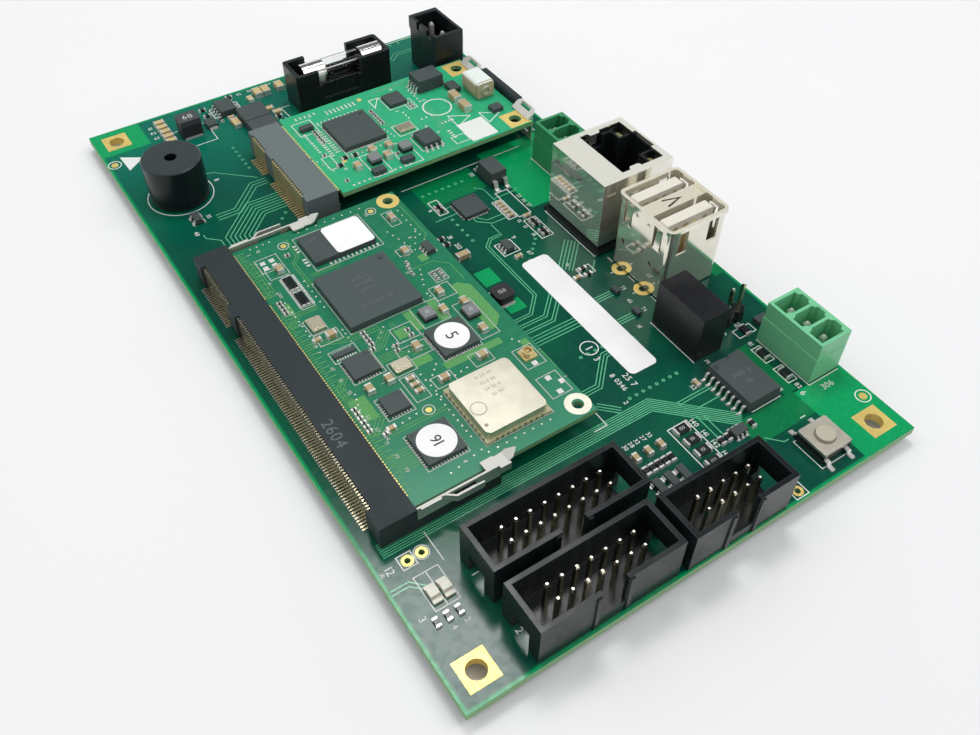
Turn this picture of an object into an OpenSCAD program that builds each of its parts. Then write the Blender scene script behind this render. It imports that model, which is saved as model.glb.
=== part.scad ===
// Carrier circuit board with a plug-in computer module and a plug-in mini card.
// X runs along the long side, Y along the short side and Z up, all in millimetres.
// Z = 0 is the plane that the solder tails stand on. Every placement below is given
// from the middle of the carrier board and from its top face, which lift() raises.

/* [Carrier board] */
// Length of the carrier board along X
board_l = 155; // [155:1:180]
// Width of the carrier board along Y
board_w = 89; // [89:1:110]
// Thickness of the carrier board
board_t = 1.6; // [1:0.1:2.4]
// Length of the solder tails below the carrier board
tail_h = 1.6; // [1:0.1:2]
// Distance between the corner hole centres along X
hole_dx = 145.65; // [140:0.05:147]
// Distance between the corner hole centres along Y
hole_dy = 79.66; // [75:0.02:80.5]
// Diameter of the corner holes
hole_d = 3.3; // [2.5:0.1:4]

/* [Computer module] */
// Width of the computer module along X
module_w = 67.6; // [66:0.1:68]
// Depth of the computer module along Y
module_d = 39.2; // [38:0.1:40]
// Thickness of the computer module's board
module_t = 1; // [0.8:0.1:1.2]
// Height of the module board's top face above the carrier board
module_z = 4.66; // [4.4:0.02:4.8]
// Pitch of the module socket's contacts
module_pitch = 0.6; // [0.5:0.05:0.6]

/* [Mini card] */
// Width of the mini card along X
card_w = 30; // [29:0.1:30]
// Length of the mini card along Y
card_d = 50.95; // [50:0.05:51]
// Thickness of the mini card's board
card_t = 1; // [0.8:0.1:1.2]
// Height of the mini card's top face above the carrier board
card_z = 5.34; // [5.2:0.02:5.5]
// Pitch of the mini card socket's contacts
card_pitch = 0.8; // [0.7:0.05:0.8]

/* [Connectors] */
// Pitch of the box header pins
pin_pitch = 2.54; // [2.4:0.02:2.54]
// Side of the square header pins
pin_side = 0.64; // [0.5:0.02:0.66]
// Width of a box header
header_w = 8.9; // [8.5:0.1:9]
// Height of a box header
header_h = 8.9; // [8:0.1:9.5]
// Pitch of the terminal header pins
terminal_pitch = 3.81; // [3.7:0.01:3.85]
// Height of the terminal headers
terminal_h = 9.2; // [8.5:0.1:10]
// Height of the network jack
jack_h = 16.2; // [15:0.1:17]
// Height of the double USB style socket
usb_h = 16.5; // [15:0.1:17.5]
// Height of the power inlet
inlet_h = 12; // [11:0.1:13]

/* [Other parts] */
// Outer diameter of the buzzer
buzzer_d = 12; // [11:0.1:12.4]
// Height of the buzzer
buzzer_h = 9.5; // [8:0.1:10]
// Diameter of the fuse's end caps
fuse_d = 5.2; // [5:0.1:5.3]
// Length of the fuse
fuse_l = 20; // [19.5:0.1:20.2]
// Height of the power converter block
converter_h = 10.1; // [9:0.1:11]
// Diameter of the push switch's plunger
plunger_d = 3.3; // [3:0.1:3.4]
// Travel that the push switch leaves under its plunger
plunger_travel = 0.25; // [0.15:0.05:0.3]

/* [Hidden] */
$fn = 48;

// Colours as the photograph shows them
mask_green = "#12604c";
card_green = "#1f8f63";
black_plastic = "#1b1d1f";
socket_grey = "#4a4f52";
steel = "#c9c7bf";
tin = "#d7d7d2";
gold = "#d8b25a";
ivory = "#efe9da";
paper_white = "#f2f2ef";
terminal_green = "#1f8a55";
cap_tan = "#b59b6e";
chip_grey = "#3c4042";

board_top = tail_h + board_t;
eps = 0.01;

// Carrier parts that stand on the board's top face
module lift() { translate([0, 0, board_top]) children(); }

// Box whose lowest corner is given, as [x, y, z] and [length, width, height]
module block(corner, size) { translate(corner) cube(size); }

// Box centred on [x, y] that rises from height z
module chip(at, size, z = 0) {
    translate([at[0] - size[0] / 2, at[1] - size[1] / 2, z]) cube(size);
}

// Outline in the Y-Z plane drawn out along X from x0 over a length
module along_x(x0, length) {
    translate([x0, 0, 0]) rotate([90, 0, 90]) linear_extrude(length) children();
}

// Outline in the X-Z plane drawn out along Y from y0 over a length
module along_y(y0, length) {
    translate([0, y0 + length, 0]) rotate([90, 0, 0]) linear_extrude(length) children();
}

// Rectangle with round corners, its lowest corner at the origin
module round_rect(size, r) {
    translate([r, 0]) square([size[0] - 2 * r, size[1]]);
    translate([0, r]) square([size[0], size[1] - 2 * r]);
    for (x = [r, size[0] - r], y = [r, size[1] - r]) translate([x, y]) circle(r);
}

// Pin and tail places
large_header_at = [61.38, -18.46];
medium_header_at = [72.32, -19.59];
small_header_at = [72.76, 4.76];
header_rows = [[large_header_at, 8], [medium_header_at, 7], [small_header_at, 5]];
function header_grid(at, n) = [for (side = [-1, 1], i = [0:n - 1])
    [at[0] + side * pin_pitch / 2, at[1] + (i - (n - 1) / 2) * pin_pitch]];
jumper_at = [41.85, 35.97];
jumper_pins = [for (side = [-1, 1]) jumper_at + [0, side * pin_pitch / 2]];
square_pins = concat([for (h = header_rows) each header_grid(h[0], h[1])], jumper_pins);

terminal_ats = [[54.45, 40.35], [-12, 37.65]];
terminal_pin_list = [for (at = terminal_ats, i = [-1:1]) at + [i * terminal_pitch, 0]];

inlet_at = [-60.35, 35.4];
inlet_pitch = 5;
inlet_pin_list = [for (side = [-1, 1]) inlet_at + [side * inlet_pitch / 2, 0.2]];

buzzer_at = [-47.5, -34.9];
buzzer_pin_list = [for (side = [-1, 1]) buzzer_at + [side * 3.8, 0]];

jack_at = [5.85, 34.95];
jack_pin_list = [for (i = [0:7]) jack_at + [(i - 3.5) * 1.02, i % 2 == 0 ? -5.9 : -3.4]];

usb_at = [23.95, 34.75];
tongue_xs = [19.25, 27.55];
usb_pin_list = [for (x = tongue_xs, dy = [-3.5, -1, 1, 3.5]) [x, usb_at[1] + dy]];
usb_tab_list = [for (x = [20.05, 26.7], side = [-1, 1]) [x, usb_at[1] + side * 6.6]];

fuse_at = [-64.25, 11.9];
fuse_clip_ys = [5, 18.8];
clip_leg_dx = 1.6;
fuse_leg_list = [for (y = fuse_clip_ys, side = [-1, 1]) [fuse_at[0] + side * clip_leg_dx, y]];

converter_at = [40.45, 26.45];
converter_pin_list = [for (i = [0:3]) converter_at + [(i - 1.5) * pin_pitch, -1.6]];

// Tails of one size: their places and the side of the square tail
contact_tail = 0.46;
wire_tail = 0.6;
tail_groups = [[square_pins, pin_side], [concat(jack_pin_list, usb_pin_list), contact_tail],
    [concat(converter_pin_list, buzzer_pin_list), wire_tail]];
thin_tails = [for (g = tail_groups) each g[0]];
broad_tails = concat(terminal_pin_list, inlet_pin_list, usb_tab_list, fuse_leg_list);
thin_hole_r = 0.48;
broad_hole_r = 0.8;
test_pads = [[52.9, -36.7], [53, -39.2], [76, 18.6]];
peg_list = [[-20.4, -38.6, 0.8], [47.9, -38.6, 0.55], [-51.3, -13.4, 0.8], [-25.5, -13.4, 0.55],
    [-0.4, 36.4, 1.6], [12.1, 36.4, 1.6]];

module carrier_board() color(mask_green) lift() difference() {
    block([-board_l / 2, -board_w / 2, -board_t], [board_l, board_w, board_t]);
    for (x = [-1, 1], y = [-1, 1])
        translate([x * hole_dx / 2, y * hole_dy / 2, -board_t - 1]) cylinder(d = hole_d, h = board_t + 2);
    for (p = concat(thin_tails, test_pads)) translate([p[0], p[1], -board_t - 1])
        cylinder(r = thin_hole_r, h = board_t + 2, $fn = 24);
    for (p = broad_tails) translate([p[0], p[1], -board_t - 1])
        cylinder(r = broad_hole_r, h = board_t + 2, $fn = 24);
    for (p = peg_list) translate([p[0], p[1], -board_t - 1])
        cylinder(r = p[2] + 0.05, h = board_t + 2, $fn = 24);
}

// Square pins reach this far below the board's top face, inside their solder
pin_reach = board_t + tail_h - 0.3;
tab_w = 1.1;
tab_t = 0.35;

// Tail of a broad pin or tab
module broad_tail(p, top = 0) {
    chip(p, [tab_w, tab_t, top + pin_reach], -pin_reach);
}

module solder_joints() color(tin) lift() {
    for (g = tail_groups, p = g[0]) difference() {
        translate([p[0], p[1], -board_t - tail_h]) cylinder(r1 = 0.3, r2 = 0.85, h = tail_h, $fn = 20);
        chip(p, [g[1], g[1], pin_reach], -pin_reach);
    }
    for (p = broad_tails) difference() {
        translate([p[0], p[1], -board_t - tail_h]) cylinder(r1 = 0.5, r2 = 1.25, h = tail_h, $fn = 20);
        broad_tail(p);
    }
}

label_at = [8.5, 12.1];
label_size = [34.15, 6.05];
label_t = 0.1;

module board_label() color(paper_white) lift()
    translate(label_at) linear_extrude(label_t) round_rect(label_size, 1);

// Computer module socket
module_at = [14.3, -0.2];
module_x0 = module_at[0] - module_w / 2;
module_x1 = module_at[0] + module_w / 2;
module_edge_y = module_at[1] - module_d;
socket_x0 = -21.7;
socket_x1 = 49.2;
socket_mouth_y = -35;
socket_h = 5.2;
socket_foot = 0.2;
comb_y = -39.9;
comb_face_y = -41;
comb_cover_y = -40.5;
comb_h = 4.87;
contact_w = 0.3;
contact_t = 0.2;
slot_w = 0.34;
socket_groups = [[-18, 20], [-2.6, 80]];
socket_xs = [for (g = socket_groups, i = [0:g[1] - 1]) g[0] + i * module_pitch];
key_x = -3.6;
key_w = 1;
arm_y = -19.8;
arm_h = 2.5;
arm_w = 3.1;
rib_w = 1.5;

// Comb of ribs between contacts, seen from above
module comb(groups, pitch, face, back, slot) {
    for (g = groups) {
        x0 = g[0] - pitch / 2;
        difference() {
            translate([x0, face]) square([g[1] * pitch, back - face]);
            for (i = [0:g[1] - 1])
                translate([g[0] + i * pitch - slot / 2, face - 1]) square([slot, back - face + 1 - eps]);
        }
    }
}

// One side arm that carries the module and guards its latch
module socket_arm(x, side) {
    block([min(x, x + side * arm_w), socket_mouth_y - 0.5, socket_foot],
        [arm_w, arm_y - socket_mouth_y + 0.5, arm_h - socket_foot]);
    rib_x = x + side * (arm_w - rib_w);
    block([min(rib_x, rib_x + side * rib_w), socket_mouth_y - 0.5, arm_h - eps],
        [rib_w, arm_y - socket_mouth_y + 0.5, module_z - module_t - arm_h]);
}

module sodimm_socket_housing() color(socket_grey) lift() {
    a0 = socket_groups[0][0] - module_pitch / 2;
    a1 = a0 + socket_groups[0][1] * module_pitch;
    b0 = socket_groups[1][0] - module_pitch / 2;
    b1 = b0 + socket_groups[1][1] * module_pitch;
    difference() {
        union() {
            block([socket_x0, comb_y, socket_foot], [socket_x1 - socket_x0, socket_mouth_y - comb_y,
                socket_h - socket_foot]);
            for (s = [[socket_x0, a0], [a1, b0], [b1, socket_x1]])
                block([s[0], comb_face_y - 0.5, socket_foot], [s[1] - s[0], comb_y - comb_face_y + 0.6,
                    socket_h - socket_foot]);
            translate([0, 0, socket_foot]) linear_extrude(comb_h - socket_foot)
                comb(socket_groups, module_pitch, comb_face_y, comb_y + 0.1, slot_w);
            block([socket_x0, comb_cover_y, comb_h - eps], [socket_x1 - socket_x0,
                comb_y - comb_cover_y + 0.1, socket_h - comb_h + eps]);
        }
        difference() {
            block([module_x0, module_edge_y, module_z - module_t], [module_w, module_d, module_t]);
            block([key_x - key_w / 2 + 0.05, module_edge_y - 1, 0], [key_w - 0.1, 4, socket_h]);
        }
        for (s = [[a0, a1], [b0, b1]])
            block([s[0], comb_y - 1, module_z - eps], [s[1] - s[0], 10, contact_t + 0.04]);
    }
    socket_arm(socket_x0, 1);
    socket_arm(socket_x1, -1);
    for (i = [0:1]) translate([peg_list[i][0], peg_list[i][1], -board_t])
        cylinder(r = peg_list[i][2], h = board_t + socket_foot, $fn = 24);
}

// Bent strip from a foot on the carrier, up its slot and onto a board's contact pads
module upper_contact(x, width, thickness, foot_y, riser_y, tip_y, top_z) {
    along_x(x - width / 2, width) polygon([[foot_y, 0], [riser_y + thickness, 0],
        [riser_y + thickness, top_z], [tip_y, top_z], [tip_y, top_z + thickness - 0.02],
        [riser_y, top_z + thickness - 0.02], [riser_y, thickness], [foot_y, thickness]]);
}

// Bent strip from a foot on the carrier up to a board's underside
module lower_contact(x, width, thickness, foot_y, riser_y, tip_y, top_z) {
    along_x(x - width / 2, width) polygon([[foot_y, 0], [riser_y, 0], [riser_y, top_z],
        [tip_y, top_z], [tip_y, top_z - thickness], [riser_y + thickness, top_z - thickness],
        [riser_y + thickness, thickness], [foot_y, thickness]]);
}

module sodimm_contacts() color(gold) lift() {
    for (x = socket_xs) upper_contact(x, contact_w, contact_t, -42.3, -41.05, socket_mouth_y, module_z);
    for (x = socket_xs)
        lower_contact(x, contact_w, contact_t, -33.6, socket_mouth_y, -34.3, module_z - module_t);
}

// Sprung latch along one side of the computer module, drawn for the left side
latch_t = 0.35;
latch_x = module_x0 - 1.1;
latch_z0 = 2.6;
latch_z1 = 5.3;
latch_bow_z = 3.9;
latch_bow = 1.25;
latch_tab_z = 6.3;
latch_plate_t = 0.35;

module sodimm_latch() {
    // Strip on edge with a long slot
    along_x(latch_x, latch_t) difference() {
        translate([-34.95, latch_z0]) square([14.95, latch_z1 - latch_z0]);
        translate([-29, 3.3]) square([4.6, 1.4]);
    }
    // Tongue that bows away from the module and ends free
    translate([latch_x, 0, latch_bow_z]) linear_extrude(latch_z1 - latch_bow_z)
        polygon([[0, -30.2], [-latch_bow, -28.6], [-latch_bow, -23.7], [0.3 - latch_bow, -23.7],
            [0.3 - latch_bow, -28.45], [0.05, -29.75]]);
    block([latch_x, -34.95, arm_h], [latch_t, 1.4, 0.2]);
    // Folded lip along the top of the strip
    block([latch_x - 0.35, -34.4, latch_z1 - latch_t], [0.7, 3.6, latch_t]);
    // Bracket at the end of the strip
    block([latch_x, -22.5, latch_z1 - latch_plate_t], [2.2, 2.3, latch_plate_t]);
    difference() {
        block([latch_x - 0.5, -20.3, latch_z1 - 1.5], [1.4, 2, 1.5]);
        block([latch_x - 0.2, -21, latch_z1 - 2], [0.8, 2.3, 1.65]);
    }
    // Raised, pointed tab that holds the module down
    intersection() {
        along_x(latch_x, 3) polygon([[-20.3, latch_z1 - 0.3], [-20.3, latch_z1], [-18.6, latch_z1],
            [-16.6, latch_tab_z], [-16.4, latch_tab_z - 0.25], [-18.5, latch_z1 - 0.3]]);
        translate([latch_x, 0, latch_z0]) linear_extrude(latch_tab_z)
            polygon([[0.1, -21], [1.9, -21], [2.1, -18], [1.1, -16.4], [0, -17.7]]);
    }
}

module sodimm_latch_left() color(steel) lift() sodimm_latch();

module sodimm_latch_right() color(steel) lift()
    translate([2 * module_at[0], 0, 0]) mirror([1, 0, 0]) sodimm_latch();

// Computer module board with its key notch, side notches and corner holes
notch_y = -17.9;
notch_r = 0.9;
module_hole_ins = 2.3;

module module_board() color(mask_green) lift() difference() {
    block([module_x0, module_edge_y, module_z - module_t], [module_w, module_d, module_t]);
    translate([0, 0, module_z - module_t - 1]) {
        translate([key_x - key_w / 2, module_edge_y - 1, 0]) cube([key_w, 4.2, module_t + 2]);
        translate([key_x, module_edge_y + 3.2, 0]) cylinder(d = key_w, h = module_t + 2);
        for (x = [module_x0 + module_hole_ins, module_x1 - module_hole_ins])
            translate([x, module_at[1] - module_hole_ins, 0]) cylinder(r = 0.95, h = module_t + 2);
        for (x = [module_x0, module_x1]) translate([x, notch_y, 0]) cylinder(r = notch_r, h = module_t + 2);
    }
}

// Black package with a round pin-one dimple in its top
module dimple_chip(at, size, z, dimple) {
    difference() {
        chip(at, size, z);
        translate([at[0] + dimple[0], at[1] + dimple[1], z + size[2] - 0.06]) cylinder(r = 0.35, h = 1, $fn = 20);
    }
}

module module_processor() color(black_plastic) lift() dimple_chip([3.9, -18.5], [14.6, 14.4, 1.3], module_z,
    [-6.2, 6.1]);

module module_memory_chip() color(black_plastic) lift() dimple_chip([-11.4, -16.85], [8, 12.7, 1.1],
    module_z, [3.2, -5.6]);

// Places and sizes of the flat packages on the computer module
module_chip_list = [[[21.9, -11.8], [7, 7, 0.9]], [[39.9, -25.9], [7, 7, 0.9]], [[19.2, -28.1], [5, 5, 0.85]],
    [[29.4, -27.5], [4, 4, 0.85]], [[14.8, -29.1], [1.1, 4, 0.5]], [[-0.4, -3.2], [2.9, 1.6, 1.0]]];

module module_control_chips() color(black_plastic) lift()
    for (c = module_chip_list) chip(c[0], c[1], module_z);

// Radio unit: its own small board with half-round edge pads under a pressed metal can
radio_at = [38, -13.2];
radio_size = [13.2, 12.6];
radio_base_t = 0.6;
radio_can_t = 0.2;
radio_can_h = 1.5;
radio_pad_pitch = 1.1;

module module_radio_base() color(mask_green) lift() difference() {
    chip(radio_at, [radio_size[0], radio_size[1], radio_base_t], module_z);
    for (i = [-5:5]) for (side = [-1, 1])
        translate([radio_at[0] + i * radio_pad_pitch, radio_at[1] + side * radio_size[1] / 2, module_z - 1])
            cylinder(r = 0.25, h = 3, $fn = 16);
    for (i = [-4:4]) for (side = [-1, 1])
        translate([radio_at[0] + side * radio_size[0] / 2, radio_at[1] + i * radio_pad_pitch, module_z - 1])
            cylinder(r = 0.25, h = 3, $fn = 16);
}

module module_radio_shield() color(steel) lift() {
    can = [radio_size[0] - 0.9, radio_size[1] - 0.9];
    translate([radio_at[0] - can[0] / 2, radio_at[1] - can[1] / 2, module_z + radio_base_t]) difference() {
        linear_extrude(radio_can_h) round_rect(can, 1);
        translate([radio_can_t, radio_can_t, -1]) linear_extrude(radio_can_h - radio_can_t + 1)
            round_rect(can - [2, 2] * radio_can_t, 0.8);
    }
}

// Snap-on antenna socket: square foot, ring and centre pin
antenna_at = [32.1, -3];

module module_antenna_socket() color(gold) lift() translate([antenna_at[0], antenna_at[1], module_z]) {
    block([-1.3, -1.3, 0], [2.6, 2.6, 0.35]);
    difference() {
        cylinder(r = 1, h = 1.25);
        translate([0, 0, 0.45]) cylinder(r = 0.75, h = 2);
    }
    cylinder(r = 0.25, h = 1.1);
}

// Metal-lidded crystals, as [x, y], [length, width, height] and base height
crystal_list = [[[6.15, -30.15], [3.3, 2.5, 0.8], module_z], [[22.75, -22.4], [2.6, 3.2, 0.8], module_z],
    [[-35.95, 12.45], [2.6, 3.6, 0.8], card_z]];

module crystals() color(cap_tan) lift() for (c = crystal_list) {
    chip(c[0], [c[1][0], c[1][1], c[1][2] - 0.2], c[2]);
    chip(c[0], [c[1][0] - 0.5, c[1][1] - 0.5, 0.2], c[2] + c[1][2] - 0.2);
}

// Blank paper labels that lie on chips
module module_labels() color(paper_white) lift() {
    translate([-15.4, -18.4, module_z + 1.1]) linear_extrude(label_t) round_rect([8, 7.9], 0.8);
    translate([21.9, -11.8, module_z + 0.9]) cylinder(r = 3.1, h = label_t);
    translate([39.9, -25.9, module_z + 0.9]) cylinder(r = 3.28, h = label_t);
}

// Mini card socket
card_at = [-38.4, 37.5];
card_x0 = card_at[0] - card_w / 2;
card_edge_y = card_at[1] - card_d;
card_tongue_w = 26;
card_tongue_d = 4.4;
card_socket_x = [-52.5, -24.3];
card_mouth_y = -9.8;
card_socket_face_y = -16.6;
card_comb_y = -15.7;
card_cover_y = -16.15;
card_comb_h = 5.53;
card_socket_h = 5.85;
card_groups = [[-50.2, 8], [-40.5, 18]];
card_contact_xs = [for (g = card_groups, i = [0:g[1] - 1]) g[0] + i * card_pitch];
card_key_x = -42.35;
card_contact_t = 0.18;

module card_socket_housing() color(socket_grey) lift() {
    a0 = card_groups[0][0] - card_pitch / 2;
    a1 = a0 + card_groups[0][1] * card_pitch;
    b0 = card_groups[1][0] - card_pitch / 2;
    b1 = b0 + card_groups[1][1] * card_pitch;
    body_l = card_socket_x[1] - card_socket_x[0];
    difference() {
        union() {
            block([card_socket_x[0], card_comb_y, socket_foot], [body_l, card_mouth_y - card_comb_y,
                card_socket_h - socket_foot]);
            for (s = [[card_socket_x[0], a0], [a1, b0], [b1, card_socket_x[1]]])
                block([s[0], card_socket_face_y, socket_foot], [s[1] - s[0], card_comb_y
                    - card_socket_face_y + 0.1, card_socket_h - socket_foot]);
            translate([0, 0, socket_foot]) linear_extrude(card_comb_h - socket_foot)
                comb(card_groups, card_pitch, card_socket_face_y, card_comb_y + 0.1, 0.42);
            block([card_socket_x[0], card_cover_y, card_comb_h - eps], [body_l,
                card_comb_y - card_cover_y + 0.1, card_socket_h - card_comb_h + eps]);
        }
        difference() {
            block([card_at[0] - card_tongue_w / 2, card_edge_y, card_z - card_t], [card_tongue_w, 9, card_t]);
            block([card_key_x - 0.65, card_edge_y - 1, 0], [1.3, 4, card_socket_h]);
        }
        for (s = [[a0, a1], [b0, b1]])
            block([s[0], card_comb_y - 1, card_z - eps], [s[1] - s[0], 9, card_contact_t + 0.03]);
    }
    for (i = [2:3]) translate([peg_list[i][0], peg_list[i][1], -board_t])
        cylinder(r = peg_list[i][2], h = board_t + socket_foot, $fn = 24);
}

module card_socket_contacts() color(gold) lift() {
    for (x = card_contact_xs)
        upper_contact(x, 0.34, card_contact_t, -17.9, -16.7, card_mouth_y, card_z);
    for (x = card_contact_xs)
        lower_contact(x, 0.34, card_contact_t, -8.4, card_mouth_y, -9, card_z - card_t);
}

// Mini card board: a full-width body and a narrower tongue with its key notch
card_hole_dx = 24.2;
card_hole_in = 2.9;

module card_board() color(card_green) lift() difference() {
    translate([0, 0, card_z - card_t]) {
        block([card_x0, card_edge_y + card_tongue_d, 0], [card_w, card_d - card_tongue_d, card_t]);
        block([card_at[0] - card_tongue_w / 2, card_edge_y, 0], [card_tongue_w, card_tongue_d + 1, card_t]);
    }
    translate([0, 0, card_z - card_t - 1]) {
        translate([card_key_x - 0.75, card_edge_y - 1, 0]) cube([1.5, 4.5, card_t + 2]);
        for (side = [-1, 1]) translate([card_at[0] + side * card_hole_dx / 2, card_at[1] - card_hole_in, 0])
            cylinder(r = 1.3, h = card_t + 2);
    }
}

// Flat packages on the mini card
card_chip_list = [[[-40.65, 2.7], [10.9, 9.8, 1.1]], [[-46.5, 15.8], [4.4, 4.2, 0.85]],
    [[-48.15, 25.1], [4.6, 6.2, 3]], [[-29.5, 14.2], [4.9, 3.9, 1.5]], [[-43.6, 29.3], [3.4, 2.4, 1.1]],
    [[-31.5, 33], [2.2, 2.6, 1]], [[-46.9, -5.6], [1.4, 2.9, 1]], [[-25.5, 0.3], [1.6, 2.8, 1]],
    [[-25.8, 7.2], [1.6, 2.8, 1]]];

module card_chips() color(black_plastic) lift() for (c = card_chip_list) chip(c[0], c[1], card_z);

// Wound transformer on the mini card: rounded ivory bobbin with a ring at its end
transformer_at = [-39.85, 33.75];
transformer_size = [6.5, 4.7, 4];

module card_transformer() color(ivory) lift() translate([0, 0, card_z]) {
    x0 = transformer_at[0] - transformer_size[0] / 2;
    y0 = transformer_at[1] - transformer_size[1] / 2;
    along_x(x0 + 0.5, transformer_size[0] - 1) translate([y0, 0.4])
        round_rect([transformer_size[1], transformer_size[2] - 0.4], 1);
    for (x = [x0, x0 + transformer_size[0] - 0.5]) along_x(x, 0.5) translate([y0 + 0.2, 0.2])
        round_rect([transformer_size[1] - 0.4, transformer_size[2] - 0.4], 0.6);
    chip(transformer_at, [transformer_size[0] - 0.4, transformer_size[1] - 1, 0.5]);
    translate([x0 + transformer_size[0] - 0.1, transformer_at[1], 1.9]) rotate([0, 90, 0]) difference() {
        cylinder(r = 1.1, h = 0.4);
        translate([0, 0, 0.15]) cylinder(r = 0.65, h = 1);
    }
}

// Latch behind the mini card: a fixed bar and a sprung hook at each end
hook_back_y = card_at[1] + 0.05;
hook_t = 0.3;
hook_left_x = -51.6;
hook_right_x = -30.3;
hook_w = 6.2;
hook_rise = 1.5;
heel_r = 0.3;

module card_latch_bar() color(socket_grey) lift() {
    along_x(-44.8, 14) polygon([[37.75, 0], [39.6, 0], [39.6, 6.6], [39.2, 7], [38.1, 7], [37.75, 6.6]]);
}

// Hook profile: rolled heel that it tips on, upright, lip over the card's edge and thumb piece
module hook(x) {
    y = hook_back_y;
    z = card_z;
    difference() {
        along_x(x, hook_w) {
            translate([y + hook_t / 2, heel_r]) circle(heel_r, $fn = 32);
            polygon([[y, heel_r], [y + hook_t, heel_r], [y + hook_t, z + 0.35], [y - 0.4, z + 0.35],
                [y + 1.3, z + hook_rise], [y + 1.3, z + hook_rise + hook_t], [y + 0.9, z + hook_rise + hook_t],
                [y - 1.1, z + 0.35], [y - 1.1, z + 0.08], [y, z + 0.08]]);
        }
        // Slots in the upright and in the thumb piece
        block([x + 1.2, y - 2, 1.4], [hook_w - 2.4, 4, card_z - 3]);
        block([x + 1.4, y + 0.1, z + 0.6], [hook_w - 2.8, 0.8, 2]);
        // Corners cut off the thumb piece
        for (side = [0, 1]) translate([x + side * hook_w, y + 1.5, 0]) rotate(45)
            block([-0.7, -0.7, z + 0.6], [1.4, 1.4, 3]);
    }
}

module card_hook_left() color(steel) lift() hook(hook_left_x);

module card_hook_right() color(steel) lift() hook(hook_right_x);

// Buzzer with its sound hole
module buzzer_case() color(black_plastic) lift() translate([buzzer_at[0], buzzer_at[1], 0]) difference() {
    rotate_extrude($fn = 96) polygon([[0, 0.3], [buzzer_d / 2 - 0.3, 0.3], [buzzer_d / 2, 0.6],
        [buzzer_d / 2, buzzer_h - 0.25], [buzzer_d / 2 - 0.25, buzzer_h], [0, buzzer_h]]);
    translate([0, 0, buzzer_h - 2]) cylinder(d = 2.5, h = 3);
}

// Plain wire pins of the buzzer and of the power converter
module wire_pins() color(tin) lift() for (p = tail_groups[2][0])
    chip(p, [wire_tail, wire_tail, 0.3 + pin_reach], -pin_reach);

// Fuse holder: two open pockets joined by a low waist
holder_x = [-68.3, -60.2];
holder_y = [-0.8, 22.9];
pocket_y = [4.5, 15.1];
holder_h = 9.3;
waist_h = 5.7;
holder_wall = 0.9;
fuse_z = 6.9;
fuse_y0 = 1.9;

module fuse_holder_body() color(black_plastic) lift() {
    w = holder_x[1] - holder_x[0];
    l = holder_y[1] - holder_y[0];
    difference() {
        translate([holder_x[0], holder_y[0], 0]) linear_extrude(holder_h) round_rect([w, l], 0.8);
        translate([holder_x[0] + holder_wall, holder_y[0] + holder_wall, 1.2]) linear_extrude(holder_h)
            round_rect([w - 2 * holder_wall, l - 2 * holder_wall], 0.4);
        block([holder_x[0] - 1, pocket_y[0], waist_h], [w + 2, pocket_y[1] - pocket_y[0], holder_h]);
        for (x = [holder_x[0] - 1, holder_x[1] - 0.55])
            block([x, pocket_y[0] + 0.6, 2.3], [1.55, pocket_y[1] - pocket_y[0] - 1.4, waist_h]);
        for (p = fuse_leg_list) translate([p[0], p[1], -1]) cylinder(r = 0.7, h = 4, $fn = 24);
    }
}

// Spring clips: a round cradle on a stem with two legs through the board
module fuse_clips() color(tin) lift() for (y = fuse_clip_ys) {
    translate([fuse_at[0], 0, 0]) along_y(y - 1.5, 3) difference() {
        translate([0, fuse_z]) circle(fuse_d / 2 + 0.35);
        translate([0, fuse_z]) circle(fuse_d / 2);
        translate([-4, fuse_z + 1.2]) square([8, 6]);
    }
    block([fuse_at[0] - 2, y - 1.5, 1.2], [4, 3, 0.3]);
    block([fuse_at[0] - 0.9, y - 1.5, 1.2], [1.8, 3, fuse_z - fuse_d / 2 - 1.3]);
    for (p = fuse_leg_list) if (p[1] == y) broad_tail(p, 1.3);
}

fuse_cap_l = 5.3;
glass_r = 2.45;
glass_bore = 2;

module fuse_glass() color("#dfe8ea") lift() translate([fuse_at[0], fuse_y0 + 0.3, fuse_z]) rotate([-90, 0, 0])
    difference() {
        cylinder(r = glass_r, h = fuse_l - 0.6);
        translate([0, 0, -1]) cylinder(r = glass_bore, h = fuse_l + 2);
    }

module fuse_caps() color(tin) lift() for (side = [0, 1])
    translate([fuse_at[0], fuse_y0 + side * fuse_l, fuse_z]) rotate([-90, 0, 0]) mirror([0, 0, side])
        difference() {
            cylinder(d = fuse_d, h = fuse_cap_l);
            translate([0, 0, 0.3]) cylinder(r = glass_r, h = fuse_cap_l);
        }

module fuse_wire() color(tin) lift() translate([fuse_at[0], fuse_y0 + 0.3, fuse_z]) rotate([-90, 0, 0])
    cylinder(r = 0.15, h = fuse_l - 0.6, $fn = 16);

// Power inlet: tall shroud with a polarising notch and an outer rib
inlet_size = [11.7, 7.4];
inlet_wall = 0.7;
inlet_floor = 2.6;
inlet_pin_side = 0.9;
// Notches in its front wall: offset along X, width and depth
inlet_notches = [[-2.05, 1.3, 1.9], [2.75, 1.9, 1.5]];

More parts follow.
